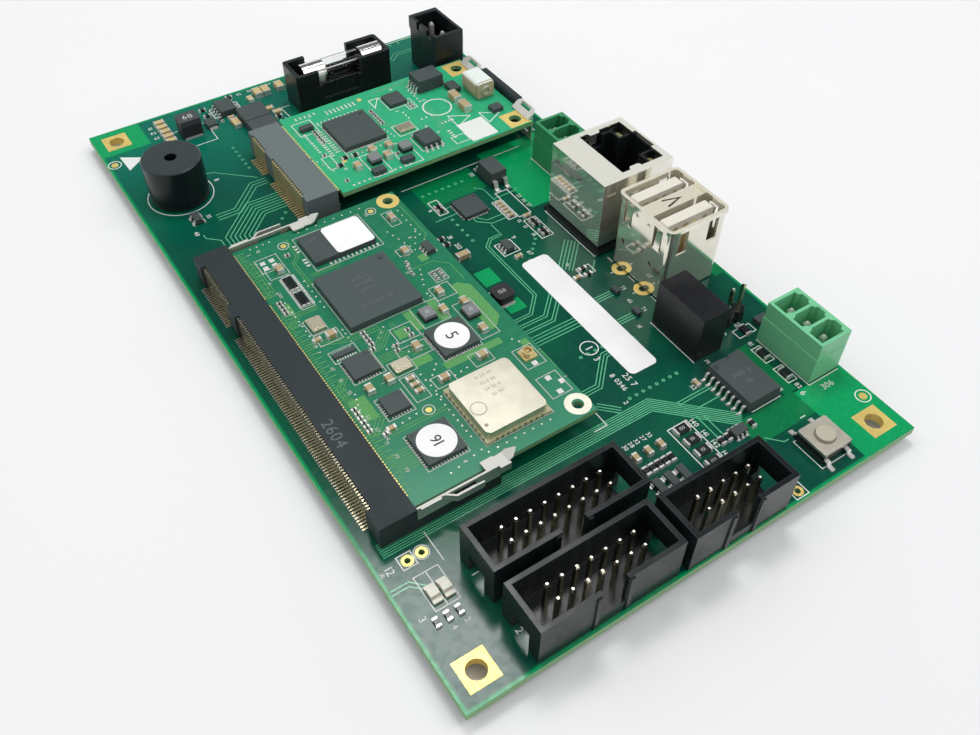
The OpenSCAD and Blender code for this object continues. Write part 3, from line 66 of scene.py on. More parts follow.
class BoardColours(bpy.types.PropertyGroup):
    """Colours of the board's finishes, as linear red, green and blue."""

    mask_dark: bpy.props.FloatVectorProperty(
        name="Dark mask", description="Solder mask over the ground copper",
        size=3, subtype="COLOR", default=(0.001, 0.062, 0.040))
    mask_lit: bpy.props.FloatVectorProperty(
        name="Lit mask", description="Solder mask where the laminate below lets light through",
        size=3, subtype="COLOR", default=(0.003, 0.320, 0.105))
    mask_track: bpy.props.FloatVectorProperty(
        name="Track", description="Solder mask over a copper track",
        size=3, subtype="COLOR", default=(0.110, 0.460, 0.250))
    card_mask: bpy.props.FloatVectorProperty(
        name="Card mask", description="Solder mask of the mini card",
        size=3, subtype="COLOR", default=(0.024, 0.360, 0.168))
    laminate: bpy.props.FloatVectorProperty(
        name="Laminate", description="Cut edge of the glass laminate",
        size=3, subtype="COLOR", default=(0.230, 0.400, 0.190))
    print_white: bpy.props.FloatVectorProperty(
        name="Print", description="White print on the boards",
        size=3, subtype="COLOR", default=(0.800, 0.820, 0.780))
    gold: bpy.props.FloatVectorProperty(
        name="Gold", description="Thin gold plating on pads and contacts",
        size=3, subtype="COLOR", default=(0.950, 0.720, 0.220))
    tin: bpy.props.FloatVectorProperty(
        name="Tin", description="Solder and tinned leads",
        size=3, subtype="COLOR", default=(0.760, 0.750, 0.720))


class BoardSizes(bpy.types.PropertyGroup):
    """Sizes of what this file adds to the board, in millimetres."""

    copper: bpy.props.FloatProperty(
        name="Copper height", description="Height of pads and tracks over the board",
        default=0.03, min=0.01, max=0.1)
    ink: bpy.props.FloatProperty(
        name="Print height", description="Height of the printed ink over the board",
        default=0.045, min=0.01, max=0.1)
    sunk: bpy.props.FloatProperty(
        name="Sunk depth", description="How far added pieces reach into the board, so that no gap shows",
        default=0.02, min=0.005, max=0.1)
    track: bpy.props.FloatProperty(
        name="Track width", description="Width of a signal track", default=0.2, min=0.1, max=0.5)
    line: bpy.props.FloatProperty(
        name="Print line", description="Width of a printed line", default=0.18, min=0.1, max=0.4)


# Shapes as arrays. A shape is (points, faces): points are rows of x, y, z, and faces is a list of
# integer arrays, each with one face per row. A layer is the (bottom, top) height of a flat shape.


def layer(z, rise):
    """The layer that lies on a surface at height z, rises over it and is sunk a little into it."""
    return z - bpy.context.scene.board_sizes.sunk, z + rise


def join(shapes):
    """One shape from several: their points one after the other, with the faces renumbered."""
    points, faces, base = [], [], 0
    for p, f in shapes:
        points.append(p)
        faces += [q + base for q in f]
        base += len(p)
    return np.concatenate(points), faces


def stepped(shapes, hair=0.0003):
    """One shape from flat shapes that may cross: each lies a hair higher than the one before it.

    Shape number i is raised by i times the hair, so no two tops share a plane where they cross.
    """
    return join([(points + [0, 0, hair * i], faces) for i, (points, faces) in enumerate(shapes)])


def grid(rows, columns, close_rows=True, close_columns=True):
    """Faces of a grid of points, numbered row by row, whose last row or column may meet its first."""
    ends = rows - 1 + close_rows, columns - 1 + close_columns
    i, j = np.meshgrid(*(np.arange(end) for end in ends), indexing="ij")
    below, right = (i + 1) % rows * columns, (j + 1) % columns
    return np.stack([i * columns + j, i * columns + right, below + right, below + j], -1).reshape(-1, 4)


def repeated(points, faces):
    """A shape from points as (copy, point, axis), with the same faces on every copy."""
    base = points.shape[1] * np.arange(len(points))[:, None, None]
    return points.reshape(-1, 3), [(f[None] + base).reshape(-1, f.shape[1]) for f in faces]


def patches(boxes, heights):
    """Flat boxes from rows of x0, x1, y0, y1: eight corners and six faces for each row."""
    boxes = np.reshape(boxes, (-1, 4)).astype(float)
    boxes = np.column_stack([boxes, np.broadcast_to(heights, (len(boxes), 2))])
    pick = np.array([[a, b, c] for c in (4, 5) for a, b in ((0, 2), (1, 2), (1, 3), (0, 3))])
    corner = np.array([[3, 2, 1, 0], [4, 5, 6, 7], [0, 1, 5, 4], [1, 2, 6, 5], [2, 3, 7, 6], [3, 0, 4, 7]])
    return repeated(boxes[:, pick], [corner])


def marks(table, heights):
    """Rows of equal rectangles, from (x, y, step in x, step in y, count, width, length)."""
    boxes = []
    for *spot, width, length in table:
        low, high = row(*spot) - [width / 2, length / 2], row(*spot) + [width / 2, length / 2]
        boxes.append(np.stack([low, high], -1).reshape(-1, 4))
    return patches(np.vstack(boxes), heights)


def row(x, y, step_x, step_y, count):
    """Centres a step apart, as rows of x, y."""
    return [x, y] + np.arange(count)[:, None] * [step_x, step_y]


def mitres(path, closed=False):
    """At each corner of a path, the way to move it sideways so that both its sides move by one unit.

    It is the sum m of the unit normals a and b of the sides before and after, over m . a.
    """
    side = np.roll(path, -1, 0) - path if closed else np.diff(path, axis=0)
    side = side / np.linalg.norm(side, axis=1, keepdims=True)
    normal = np.column_stack([-side[:, 1], side[:, 0]])
    before = np.roll(normal, 1, 0) if closed else np.vstack([normal[:1], normal])
    after = normal if closed else np.vstack([normal, normal[-1:]])
    mitre = before + after
    return mitre / np.sum(mitre * before, axis=1, keepdims=True)


def strip(path, width, heights, closed=False):
    """A flat band of one width along a path, with mitred corners.

    Its section is a rectangle: the path moved by half the width to each side, at both heights.
    """
    path = np.asarray(path, float)
    mitre = mitres(path, closed) * width / 2
    n, (z0, z1) = len(path), heights
    sides = ((path + mitre, z0), (path - mitre, z0), (path - mitre, z1), (path + mitre, z1))
    section = [np.column_stack([side, np.full(n, z)]) for side, z in sides]
    faces = [grid(n, 4, closed)]
    if not closed:
        faces.append(np.array([[3, 2, 1, 0], [4 * n - 4, 4 * n - 3, 4 * n - 2, 4 * n - 1]]))
    return np.stack(section, 1).reshape(-1, 3), faces


def bundles(table, width, heights):
    """Parallel bands from (count, pitch, x, y, x, y, ...), one shape for each row of the table."""
    shapes = []
    for count, pitch, *corners in table:
        path = np.reshape(corners, (-1, 2))
        offsets = (np.arange(count) - (count - 1) / 2) * pitch
        shapes.append(join([strip(path + by * mitres(path), width, heights) for by in offsets]))
    return shapes


def outlines(boxes, width, heights):
    """Printed rectangles, one shape each, from rows of x0, x1, y0, y1."""
    corners = ([(x0, y0), (x1, y0), (x1, y1), (x0, y1)] for x0, x1, y0, y1 in boxes)
    return [strip(path, width, heights, closed=True) for path in corners]


def filled(outline, heights):
    """A flat shape with straight sides, from its corners in order, seen from above, against the clock."""
    n = len(outline)
    points = np.vstack([np.column_stack([outline, np.full(n, z)]) for z in heights])
    return points, [grid(2, n, False), np.arange(n)[::-1][None], np.arange(n, 2 * n)[None]]


def at_centres(loops, centres, closed=True):
    """A shape at each centre from loops of points as (loop, point, axis), joined one to the next.

    The last loop joins the first, or else the first and the last are closed with flat faces.
    """
    centres = np.reshape(centres, (-1, 2)).astype(float)
    rows, columns = loops.shape[:2]
    faces = [grid(rows, columns, closed)]
    if not closed:
        faces.append(np.stack([np.arange(columns)[::-1], (rows - 1) * columns + np.arange(columns)]))
    points = loops.reshape(1, -1, 3) + np.column_stack([centres, np.zeros(len(centres))])[:, None]
    return repeated(points, faces)


def circles(profile, sides):
    """Loops of points on circles: radius (cos a, sin a) and a height, from rows of (radius, height)."""
    angle = 2 * np.pi * np.arange(sides) / sides
    ring = np.stack([np.cos(angle), np.sin(angle), np.zeros(sides)], -1)
    return np.array([r * ring + [0, 0, z] for r, z in profile])


def rings(centres, r0, r1, heights, sides=28):
    """Flat rings: a rectangle from radius r0 to r1 turned about each centre."""
    z0, z1 = heights
    return at_centres(circles([(r0, z0), (r1, z0), (r1, z1), (r0, z1)], sides), centres)


def discs(centres, r, heights, sides=20):
    """Flat discs: a circle of radius r at both heights, closed at each end."""
    return at_centres(circles([(r, z) for z in heights], sides), centres, closed=False)


def square_rings(centres, size, hole, heights, sides=64):
    """Square pads with a round hole: rings whose outer circle is pushed out to the square.

    A point at the angle a is moved out to half the size over the larger of |cos a| and |sin a|.
    The number of sides is a multiple of 8, so that some points lie on the corners.
    """
    z0, z1 = heights
    loops = circles([(hole, z0), (1, z0), (1, z1), (hole, z1)], sides)
    loops[1:3, :, :2] *= size / 2 / np.abs(loops[1:3, :, :2]).max(2, keepdims=True)
    return at_centres(loops, centres)


def puddles(boxes, heights, steps=5):
    """Solder that has wetted a pad: one crowned patch over each row of x0, x1, y0, y1.

    Over u and v from -1 to 1 it rises from the lower to the upper height by the part
    (1 - u^4)(1 - v^4), and its outline is pulled in at the corners by 1 - 0.08 u^2 v^2.
    """
    v, u = np.meshgrid(*[np.linspace(-1, 1, steps)] * 2, indexing="ij")
    pull = 1 - 0.08 * u ** 2 * v ** 2
    crown = heights[0] + (heights[1] - heights[0]) * (1 - u ** 4) * (1 - v ** 4)
    x0, x1, y0, y1 = boxes.T[:, :, None, None]
    x = (x0 + x1) / 2 + (x1 - x0) / 2 * u * pull
    y = (y0 + y1) / 2 + (y1 - y0) / 2 * v * pull
    points = np.stack([x, y, np.broadcast_to(crown, x.shape)], -1).reshape(len(boxes), -1, 3)
    number = np.arange(steps * steps).reshape(steps, steps)
    rim = np.concatenate([number[0], number[1:, -1], number[-1, -2::-1], number[-2:0:-1, 0]])
    return repeated(points, [grid(steps, steps, False, False), rim[::-1][None]])


@functools.cache
def digit_shape(digit):
    """Points, faces and width of one digit, one unit tall, from a text object made a mesh."""
    curve = bpy.data.curves.new("digit", "FONT")
    curve.body = digit
    curve.extrude = 0.02
    curve.resolution_u = 3
    holder = bpy.data.objects.new("digit", curve)
    bpy.context.scene.collection.objects.link(holder)
    bpy.context.view_layer.update()
    mesh = bpy.data.meshes.new_from_object(holder.evaluated_get(bpy.context.evaluated_depsgraph_get()))
    points = corners_of(mesh)
    points[:, :2] -= points[:, :2].min(0)
    points[:, :2] /= points[:, 1].max()
    faces = [np.array([face.vertices]) for face in mesh.polygons]
    bpy.data.objects.remove(holder)
    bpy.data.curves.remove(curve)
    bpy.data.meshes.remove(mesh)
    return points, faces, points[:, 0].max()


def number(text, x, y, height, turn, heights, gap=0.16, space=0.5):
    """A plain number of this height, centred on x, y and turned by an angle in degrees.

    The gap between digits and the width of a space go by the digits' height. The digits are laid
    side by side, scaled, turned and moved, and their two faces are put at the layer's heights.
    """
    along, laid = 0.0, []
    for digit in text:
        if digit == " ":
            along += space
            continue
        points, faces, width = digit_shape(digit)
        laid.append((points + [along, 0, 0], faces))
        along += width + gap
    points, faces = join(laid)
    c, s = math.cos(math.radians(turn)), math.sin(math.radians(turn))
    flat = (points[:, :2] - [(along - gap) / 2, 0.5]) * height @ [[c, s], [-s, c]] + [x, y]
    return np.column_stack([flat, np.where(points[:, 2] > 0, heights[1], heights[0])]), faces


def numbers(table, heights):
    """Plain numbers from rows of (height, turn, text, x, y, text, x, y, ...)."""
    return join([number(*items[i:i + 3], height, turn, heights)
                 for height, turn, *items in table for i in range(0, len(items), 3)])


def corners_of(mesh):
    """The corners of a mesh as rows of x, y, z."""
    corners = np.zeros(len(mesh.vertices) * 3)
    mesh.vertices.foreach_get("co", corners)
    return corners.reshape(-1, 3)


def add_piece(name, shape, material, smooth=False):
    """A new object on the board's body from a shape in millimetres above the board's top."""
    points, faces = shape
    mesh = bpy.data.meshes.new(name)
    faces = [face for rows in faces for face in rows.tolist()]
    mesh.from_pydata((points * MM + [0, 0, TOP]).tolist(), [], faces)
    mesh.materials.append(material)
    mesh.polygons.foreach_set("use_smooth", np.full(len(mesh.polygons), smooth))
    mesh.update()
    piece = bpy.data.objects.new(name, mesh)
    bpy.context.scene.collection.objects.link(piece)
    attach(piece, BODY)


def extremes(points, group, count):
    """Lowest and highest corner of each group of points, with each point's group given by number."""
    low, high = np.full((count, 3), np.inf), np.full((count, 3), -np.inf)
    np.minimum.at(low, group, points)
    np.maximum.at(high, group, points)
    return low, high


def solids_of(node, hair=0.02):
    """Lowest and highest corners of each separate solid of a CAD node, and of its feet.

    Corners that share a place are merged, each corner takes the smallest number among its
    triangles' corners until nothing changes, and each number left is one solid. A foot is the
    box of the solid's corners within a hair of its lowest one.
    """
    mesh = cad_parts[node].data
    points = (corners_of(mesh) - [0, 0, TOP]) / MM
    corner = np.zeros(len(mesh.loops), int)
    mesh.loops.foreach_get("vertex_index", corner)
    _, first, place = np.unique(np.round(points, 3), axis=0, return_index=True, return_inverse=True)
    triangles = place.ravel()[corner].reshape(-1, 3)
    label, last = np.arange(len(first)), None
    while not np.array_equal(label, last):
        last = label.copy()
        np.minimum.at(label, triangles.ravel(), np.repeat(last[triangles].min(1), 3))
    points = points[first]
    names, solid = np.unique(label, return_inverse=True)
    solid = solid.ravel()
    low, high = extremes(points, solid, len(names))
    foot = points[:, 2] < low[solid, 2] + hair
    return low, high, *extremes(points[foot], solid[foot], len(names))


def feet(nodes, level, along=0.25, across=0.12, sizes=(0.1, 4.0)):
    """Boxes round the feet that stand at one level, as rows of x0, x1, y0, y1.

    A foot counts where its sides lie between the two sizes. It grows by one length along its
    longer side and by another across it, at both ends.
    """
    found = []
    for node in nodes:
        low, _, foot_low, foot_high = solids_of(node)
        size = (foot_high - foot_low)[:, :2]
        fits = (np.abs(low[:, 2] - level) < 0.15) & (size.max(1) < sizes[1]) & (size.min(1) > sizes[0])
        grow = np.where((size[:, :1] >= size[:, 1:]), [along, across], [across, along])
        found.append(np.hstack([foot_low[:, :2] - grow, foot_high[:, :2] + grow])[fits][:, [0, 2, 1, 3]])
    return np.vstack(found)


def lands(node, level, least, pitch=0.55, width=0.27, reach=0.45, under=0.1):
    """The lands that stick out on all four sides of a node's flat chips, as rows of x0, x1, y0, y1.

    They lie a pitch apart about the middle of each side, from a little under the chip outwards. A
    chip is flat where both its sides are longer than the least length and it is a low one.
    """
    low, high, _, _ = solids_of(node)
    size = high - low
    flat = (size[:, :2].min(1) > least) & (size[:, 2] < 1.2) & (np.abs(low[:, 2] - level) < 0.05)
    boxes = []
    for axis in (0, 1):
        other = 1 - axis
        for a, b in zip(low[flat], high[flat]):
            count = int((b[other] - a[other] - 0.7) / pitch) + 1
            along = (a[other] + b[other]) / 2 + (np.arange(count) - (count - 1) / 2) * pitch
            for edge, way in ((a[axis], -1), (b[axis], 1)):
                ends = np.full((count, 2), sorted((edge - way * under, edge + way * reach)))
                sides = np.column_stack([along - width / 2, along + width / 2])
                boxes.append(np.hstack([sides, ends] if axis else [ends, sides]))
    return np.vstack(boxes)


# Short ways to build node trees. A value is an output socket, a number, or a colour of three parts.


def fill(tree, node, values):
    """Feeds a node's inputs by name or number, each with a link or a constant."""
    for label, value in values.items():
        socket = node.inputs[label]
        if isinstance(value, bpy.types.NodeSocket):
            tree.links.new(value, socket)
        else:
            socket.default_value = (*value, 1) if isinstance(value, tuple) else value


def add(tree, kind, values=None, **options):
    """A new node of a kind, with its options set and its inputs fed."""
    node = tree.nodes.new("ShaderNode" + kind)
    for option, value in options.items():
        setattr(node, option, value)
    fill(tree, node, values or {})
    return node


def maths(tree, operation, *values, clamp=False):
    """The result of a Math node."""
    return add(tree, "Math", dict(enumerate(values)), operation=operation, use_clamp=clamp).outputs[0]


def mix(tree, factor, a, b):
    """Colour a where the factor is 0 and colour b where it is 1."""
    return add(tree, "Mix", {"Factor": factor, "A": a, "B": b}, data_type="RGBA").outputs["Result"]


def ramp(tree, value, low, high):
    """0 below low, 1 above high and smooth between."""
    values = {"Value": value, "From Min": low, "From Max": high}
    return add(tree, "MapRange", values, interpolation_type="SMOOTHSTEP").outputs["Result"]


def axes(tree, vector):
    """The X, Y and Z of a vector."""
    return add(tree, "SeparateXYZ", {0: vector}).outputs


def place(tree):
    """Where a point is on its object."""
    return add(tree, "TexCoord").outputs["Object"]


def facing_up(tree, low, high):
    """1 on faces that point up and 0 on the sides, by the height of the normal."""
    return ramp(tree, axes(tree, add(tree, "NewGeometry").outputs["Normal"])["Z"], low, high)


def noise(tree, scale, detail, rough):
    """Noise over the object, with its scale in features a metre."""
    values = {"Vector": place(tree), "Scale": scale, "Detail": detail, "Roughness": rough}
    return add(tree, "TexNoise", values).outputs["Fac"]


def bump(tree, height, depth, normal=None, distance=0.00004):
    """The normal that a height bends, over another normal if one is given."""
    values = {"Strength": depth, "Distance": distance, "Height": height}
    if normal:
        values["Normal"] = normal
    return add(tree, "Bump", values).outputs["Normal"]


# Node groups for the effects that several finishes share. Each has one input with a default, and
# outputs by name.


def grain_effect(tree, scale):
    """Fine moulded or cast grain, from 0 to 1: a height that also runs light and dark."""
    return {"Height": noise(tree, scale, 3.0, 0.6)}


def edge_effect(tree, radius, gain=5.0):
    """How near a sharp edge a point is, from 0 on a flat to 1 on the edge, and the softened normal.

    The softened normal leans away from the true one near an edge. One minus their dot product,
    times the gain, is the mask.
    """
    soft = add(tree, "Bevel", {"Radius": radius}, samples=4).outputs["Normal"]
    true = add(tree, "NewGeometry").outputs["Normal"]
    dot = add(tree, "VectorMath", {0: soft, 1: true}, operation="DOT_PRODUCT").outputs["Value"]
    edge = maths(tree, "MULTIPLY", maths(tree, "SUBTRACT", 1.0, dot), gain, clamp=True)
    return {"Edge": edge, "Normal": soft}


def handling_effect(tree, scale, finer=14.0):
    """Uneven gloss from handling and flux: a slow mask and a finer one, each from 0 to 1."""
    fine = noise(tree, maths(tree, "MULTIPLY", scale, finer), 2.0, 0.6)
    return {"Slow": ramp(tree, noise(tree, scale, 3.0, 0.55), 0.35, 0.7), "Fine": ramp(tree, fine, 0.4, 0.65)}


def weave_effect(tree, pitch):
    """The glass cloth that shows faintly through a board: two crossing waves as a height.

    It is sin(2 pi x / pitch) times sin(2 pi y / pitch).
    """
    spot = axes(tree, place(tree))
    turns = [maths(tree, "MULTIPLY", maths(tree, "DIVIDE", spot[axis], pitch), 2 * math.pi) for axis in "XY"]
    return {"Height": maths(tree, "MULTIPLY", *(maths(tree, "SINE", turn) for turn in turns))}


EFFECTS = {"Grain": (grain_effect, "Scale", 4000.0), "Soft edge": (edge_effect, "Radius", 0.0001),
           "Handling": (handling_effect, "Scale", 120.0), "Glass cloth": (weave_effect, "Pitch", 0.0006)}


def use(tree, name, value):
    """The outputs of a shared node group in a material. The group is made the first time it is used."""
    maker, label, usual = EFFECTS[name]
    group = bpy.data.node_groups.get(name)
    if not group:
        group = bpy.data.node_groups.new(name, "ShaderNodeTree")
        given = group.interface.new_socket(label, in_out="INPUT", socket_type="NodeSocketFloat")
        given.default_value = usual
        results = maker(group, group.nodes.new("NodeGroupInput").outputs[label])
        for result in results:
            kind = "NodeSocketVector" if result == "Normal" else "NodeSocketFloat"
            group.interface.new_socket(result, in_out="OUTPUT", socket_type=kind)
        fill(group, group.nodes.new("NodeGroupOutput"), results)
    return add(tree, "Group", {label: value}, node_tree=group).outputs


def new_material(name):
    """A material with only a Principled shader and its output, and the tree and shader to fill in."""
    material = bpy.data.materials.new(name)
    material.use_nodes = True
    return material, material.node_tree, material.node_tree.nodes["Principled BSDF"]


def scaled(colour, by):
    """A colour made lighter or darker by a factor, held to 1."""
    return tuple(min(1.0, c * by) for c in colour)


def varied(tree, mask, colour, low, high=1.0):
    """A colour that goes from low times to high times its brightness as a mask goes from 0 to 1."""
    return mix(tree, mask, scaled(colour, low), scaled(colour, high))


def moulded(name, colour, rough, grain=3500.0, depth=0.25, edge=1.6, radius=0.00008, coat=0.0, shine=0.35,
            left_of=None, left_colour=None):
    """Moulded plastic or epoxy: fine grain, slow unevenness in gloss, and paler edges that are a painted
    highlight.

    Parts of one kind can have another colour left of a place along X, in millimetres.
    """
    material, tree, shader = new_material(name)
    fine = use(tree, "Grain", grain)["Height"]
    rim = use(tree, "Soft edge", radius)
    # The third shade is a painted highlight along the edges: the colour times the edge factor.
    shades = (0.88, 1.12, edge)
    tones = [scaled(colour, by) for by in shades]
    if left_colour:
        right = ramp(tree, axes(tree, place(tree))["X"], (left_of - 0.1) * MM, (left_of + 0.1) * MM)
        tones = [mix(tree, right, scaled(left_colour, by), tone) for by, tone in zip(shades, tones)]
    uneven = maths(tree, "MULTIPLY", use(tree, "Handling", 140.0)["Slow"], 0.12)
    fill(tree, shader, {
        "Base Color": mix(tree, rim["Edge"], mix(tree, fine, tones[0], tones[1]), tones[2]),
        "Roughness": maths(tree, "ADD", uneven, rough - 0.05), "Normal": bump(tree, fine, depth, rim["Normal"]),
        "Specular IOR Level": shine, "Coat Weight": coat, "Coat Roughness": 0.12})
    return material


def metal(name, colour, rough, grain=900.0, depth=0.03, dull=0.5, radius=0.00005, plating=1.0,
          top_rough=None, top_colour=None):
    """Plated or rolled metal: soft edges with a painted highlight along them, slow dull patches and a faint
    ripple from the rolling.

    Upward faces can take another roughness, a painted top colour and less plating than the sides:
    painted light or shade on the top, for how the light from above falls on it. A plating below 1
    scatters part of the light as a thin, matt deposit does.
    """
    material, tree, shader = new_material(name)
    touch = use(tree, "Handling", 180.0)
    toned = varied(tree, touch["Slow"], colour, 0.86)
    uneven = maths(tree, "MULTIPLY", touch["Fine"], dull * rough)
    lean = None
    if top_rough:
        # Painted light: the upward faces take another colour and less plating, for how the light from above
        # falls on them.
        up = facing_up(tree, 0.6, 0.9)
        toned = mix(tree, up, toned, top_colour)
        uneven = maths(tree, "ADD", uneven, maths(tree, "MULTIPLY", up, top_rough - rough))
        plating = maths(tree, "SUBTRACT", plating, maths(tree, "MULTIPLY", up, 0.5))
    if radius:
        rim = use(tree, "Soft edge", radius)
        # Painted highlight: a paler colour along the edges.
        toned = mix(tree, rim["Edge"], toned, scaled(colour, 1.12))
        lean = rim["Normal"]
    fill(tree, shader, {
        "Base Color": toned, "Roughness": maths(tree, "ADD", uneven, rough), "Metallic": plating,
        "Normal": bump(tree, use(tree, "Grain", grain)["Height"], depth, lean)})
    return material


def thin_metal(name, colour, rough, dull=0.0, **values):
    """Metal for thin wires and springs: no ripple, and no soft edge, which would be wider than they are."""
    return metal(name, colour, rough, depth=0.0, dull=dull, radius=None, **values)


def board_mask(name, dark, lit, laminate, node, rim=None, bright=0.2, gloss=0.16, far=None, skin=(3e-5, 8e-5)):
    """Solder mask on a board, with the cut laminate showing on its sides.

    What lies deeper than the skin under both faces is a side. In slow patches, and in a rim along
    the outline, the mask is lit from behind, because the ground copper stops there. The rim and
    its fully lit bright part are widths in millimetres. A far value of (tone, x0, x1) blends from
    another tone at x0 to the dark one at x1.
    """
    material, tree, shader = new_material(name)
    spot = axes(tree, place(tree))
    touch = use(tree, "Handling", 60.0)
    mask = maths(tree, "MULTIPLY", touch["Slow"], 0.14)
    low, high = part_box(node)
    if rim:
        near = [ramp(tree, maths(tree, "ABSOLUTE", spot[axis]), half - rim * MM, half - bright * MM)
                for axis, half in (("X", high.x), ("Y", high.y))]
        mask = maths(tree, "MAXIMUM", mask, maths(tree, "MAXIMUM", *near))
    base = mix(tree, ramp(tree, spot["X"], *far[1:]), far[0], dark) if far else dark
    flux = maths(tree, "MULTIPLY", touch["Fine"], 0.25)
    flat = mix(tree, flux, mix(tree, mask, base, lit), scaled(dark, 1.35))
    under = ramp(tree, spot["Z"], low.z + skin[0], low.z + skin[1])
    over = ramp(tree, spot["Z"], high.z - skin[1], high.z - skin[0])
    side = maths(tree, "SUBTRACT", under, over, clamp=True)
    wave = {"Vector": place(tree), "Scale": 900.0, "Distortion": 2.0}
    layers = add(tree, "TexWave", wave, bands_direction="Z").outputs["Fac"]
    cut = varied(tree, layers, laminate, 0.7, 1.15)
    dullness = maths(tree, "ADD", maths(tree, "MULTIPLY", side, 0.35), gloss)
    cloth = use(tree, "Glass cloth", 0.0007)["Height"]
    fill(tree, shader, {
        "Base Color": mix(tree, side, flat, cut),
        "Roughness": maths(tree, "ADD", dullness, maths(tree, "MULTIPLY", touch["Fine"], 0.06)),
        "Normal": bump(tree, cloth, 0.5, distance=0.000002), "Specular IOR Level": 0.32})
    return material


def film(name, colour, rough, touch, dark, light, grain, depth, shine=0.5):
    """A thin even layer, such as mask over copper, ink or paper: fine patches and a faint tooth."""
    material, tree, shader = new_material(name)
    fill(tree, shader, {
        "Base Color": varied(tree, use(tree, "Handling", touch)["Fine"], colour, dark, light),
        "Normal": bump(tree, use(tree, "Grain", grain)["Height"], depth),
        "Roughness": rough, "Specular IOR Level": shine})
    return material


def mask_film(name, colour):
    """Solder mask over copper: the mask's gloss in a paler green, a little uneven."""
    return film(name, colour, 0.16, 300.0, 0.88, 1.12, 2500.0, 0.05, 0.4)


def ink_finish(name, colour):
    """Print: matt, slightly thin in places."""
    return film(name, colour, 0.55, 900.0, 0.82, 1.0, 6000.0, 0.1)


def paper_finish(name):
    """Blank printed film: matt white, with a fine tooth and slightly soiled patches."""
    material, tree, shader = new_material(name)
    soiled = mix(tree, use(tree, "Handling", 90.0)["Slow"], (0.80, 0.80, 0.79), (0.87, 0.87, 0.86))
    fill(tree, shader, {"Base Color": soiled, "Roughness": 0.5,
                        "Normal": bump(tree, use(tree, "Grain", 5000.0)["Height"], 0.08)})
    return material


def clear_glass(name):
    """Clear tube glass: a smooth see-through wall that bends the light only a little."""
    material, tree, shader = new_material(name)
    tint = mix(tree, use(tree, "Handling", 250.0)["Slow"], (0.93, 0.95, 0.94), (1.0, 1.0, 1.0))
    fill(tree, shader, {"Base Color": tint, "Roughness": 0.0, "Transmission Weight": 1.0, "IOR": 1.18})
    return material


def two_faced(name, top, sides, rough=0.35, shine=0.5):
    """Body with one colour on the faces that point up and another on the sides. The two colours are the coil
    body's own, and on the buzzer case the lighter top is painted light.
    """
    material, tree, shader = new_material(name)
    fine = use(tree, "Grain", 3000.0)["Height"]
    up = facing_up(tree, 0.3, 0.8)
    low, high = (mix(tree, up, scaled(sides, by), scaled(top, by)) for by in (0.88, 1.06))
    lean = use(tree, "Soft edge", 0.00012)["Normal"]
    fill(tree, shader, {"Base Color": mix(tree, fine, low, high), "Normal": bump(tree, fine, 0.15, lean),
                        "Roughness": rough, "Specular IOR Level": shine})
    return material


def milky(name, colour):
    """Translucent moulding, such as a light window: light goes a little way in."""
    material, tree, shader = new_material(name)
    fill(tree, shader, {
        "Base Color": varied(tree, use(tree, "Handling", 400.0)["Slow"], colour, 0.85),
        "Normal": use(tree, "Soft edge", 0.0001)["Normal"],
        "Roughness": 0.3, "Subsurface Weight": 0.4, "Subsurface Scale": 0.00035})
    return material


def give(nodes, material):
    """Puts a material in every slot of the named parts."""
    for node in nodes.split():
        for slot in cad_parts[node].material_slots:
            slot.material = material


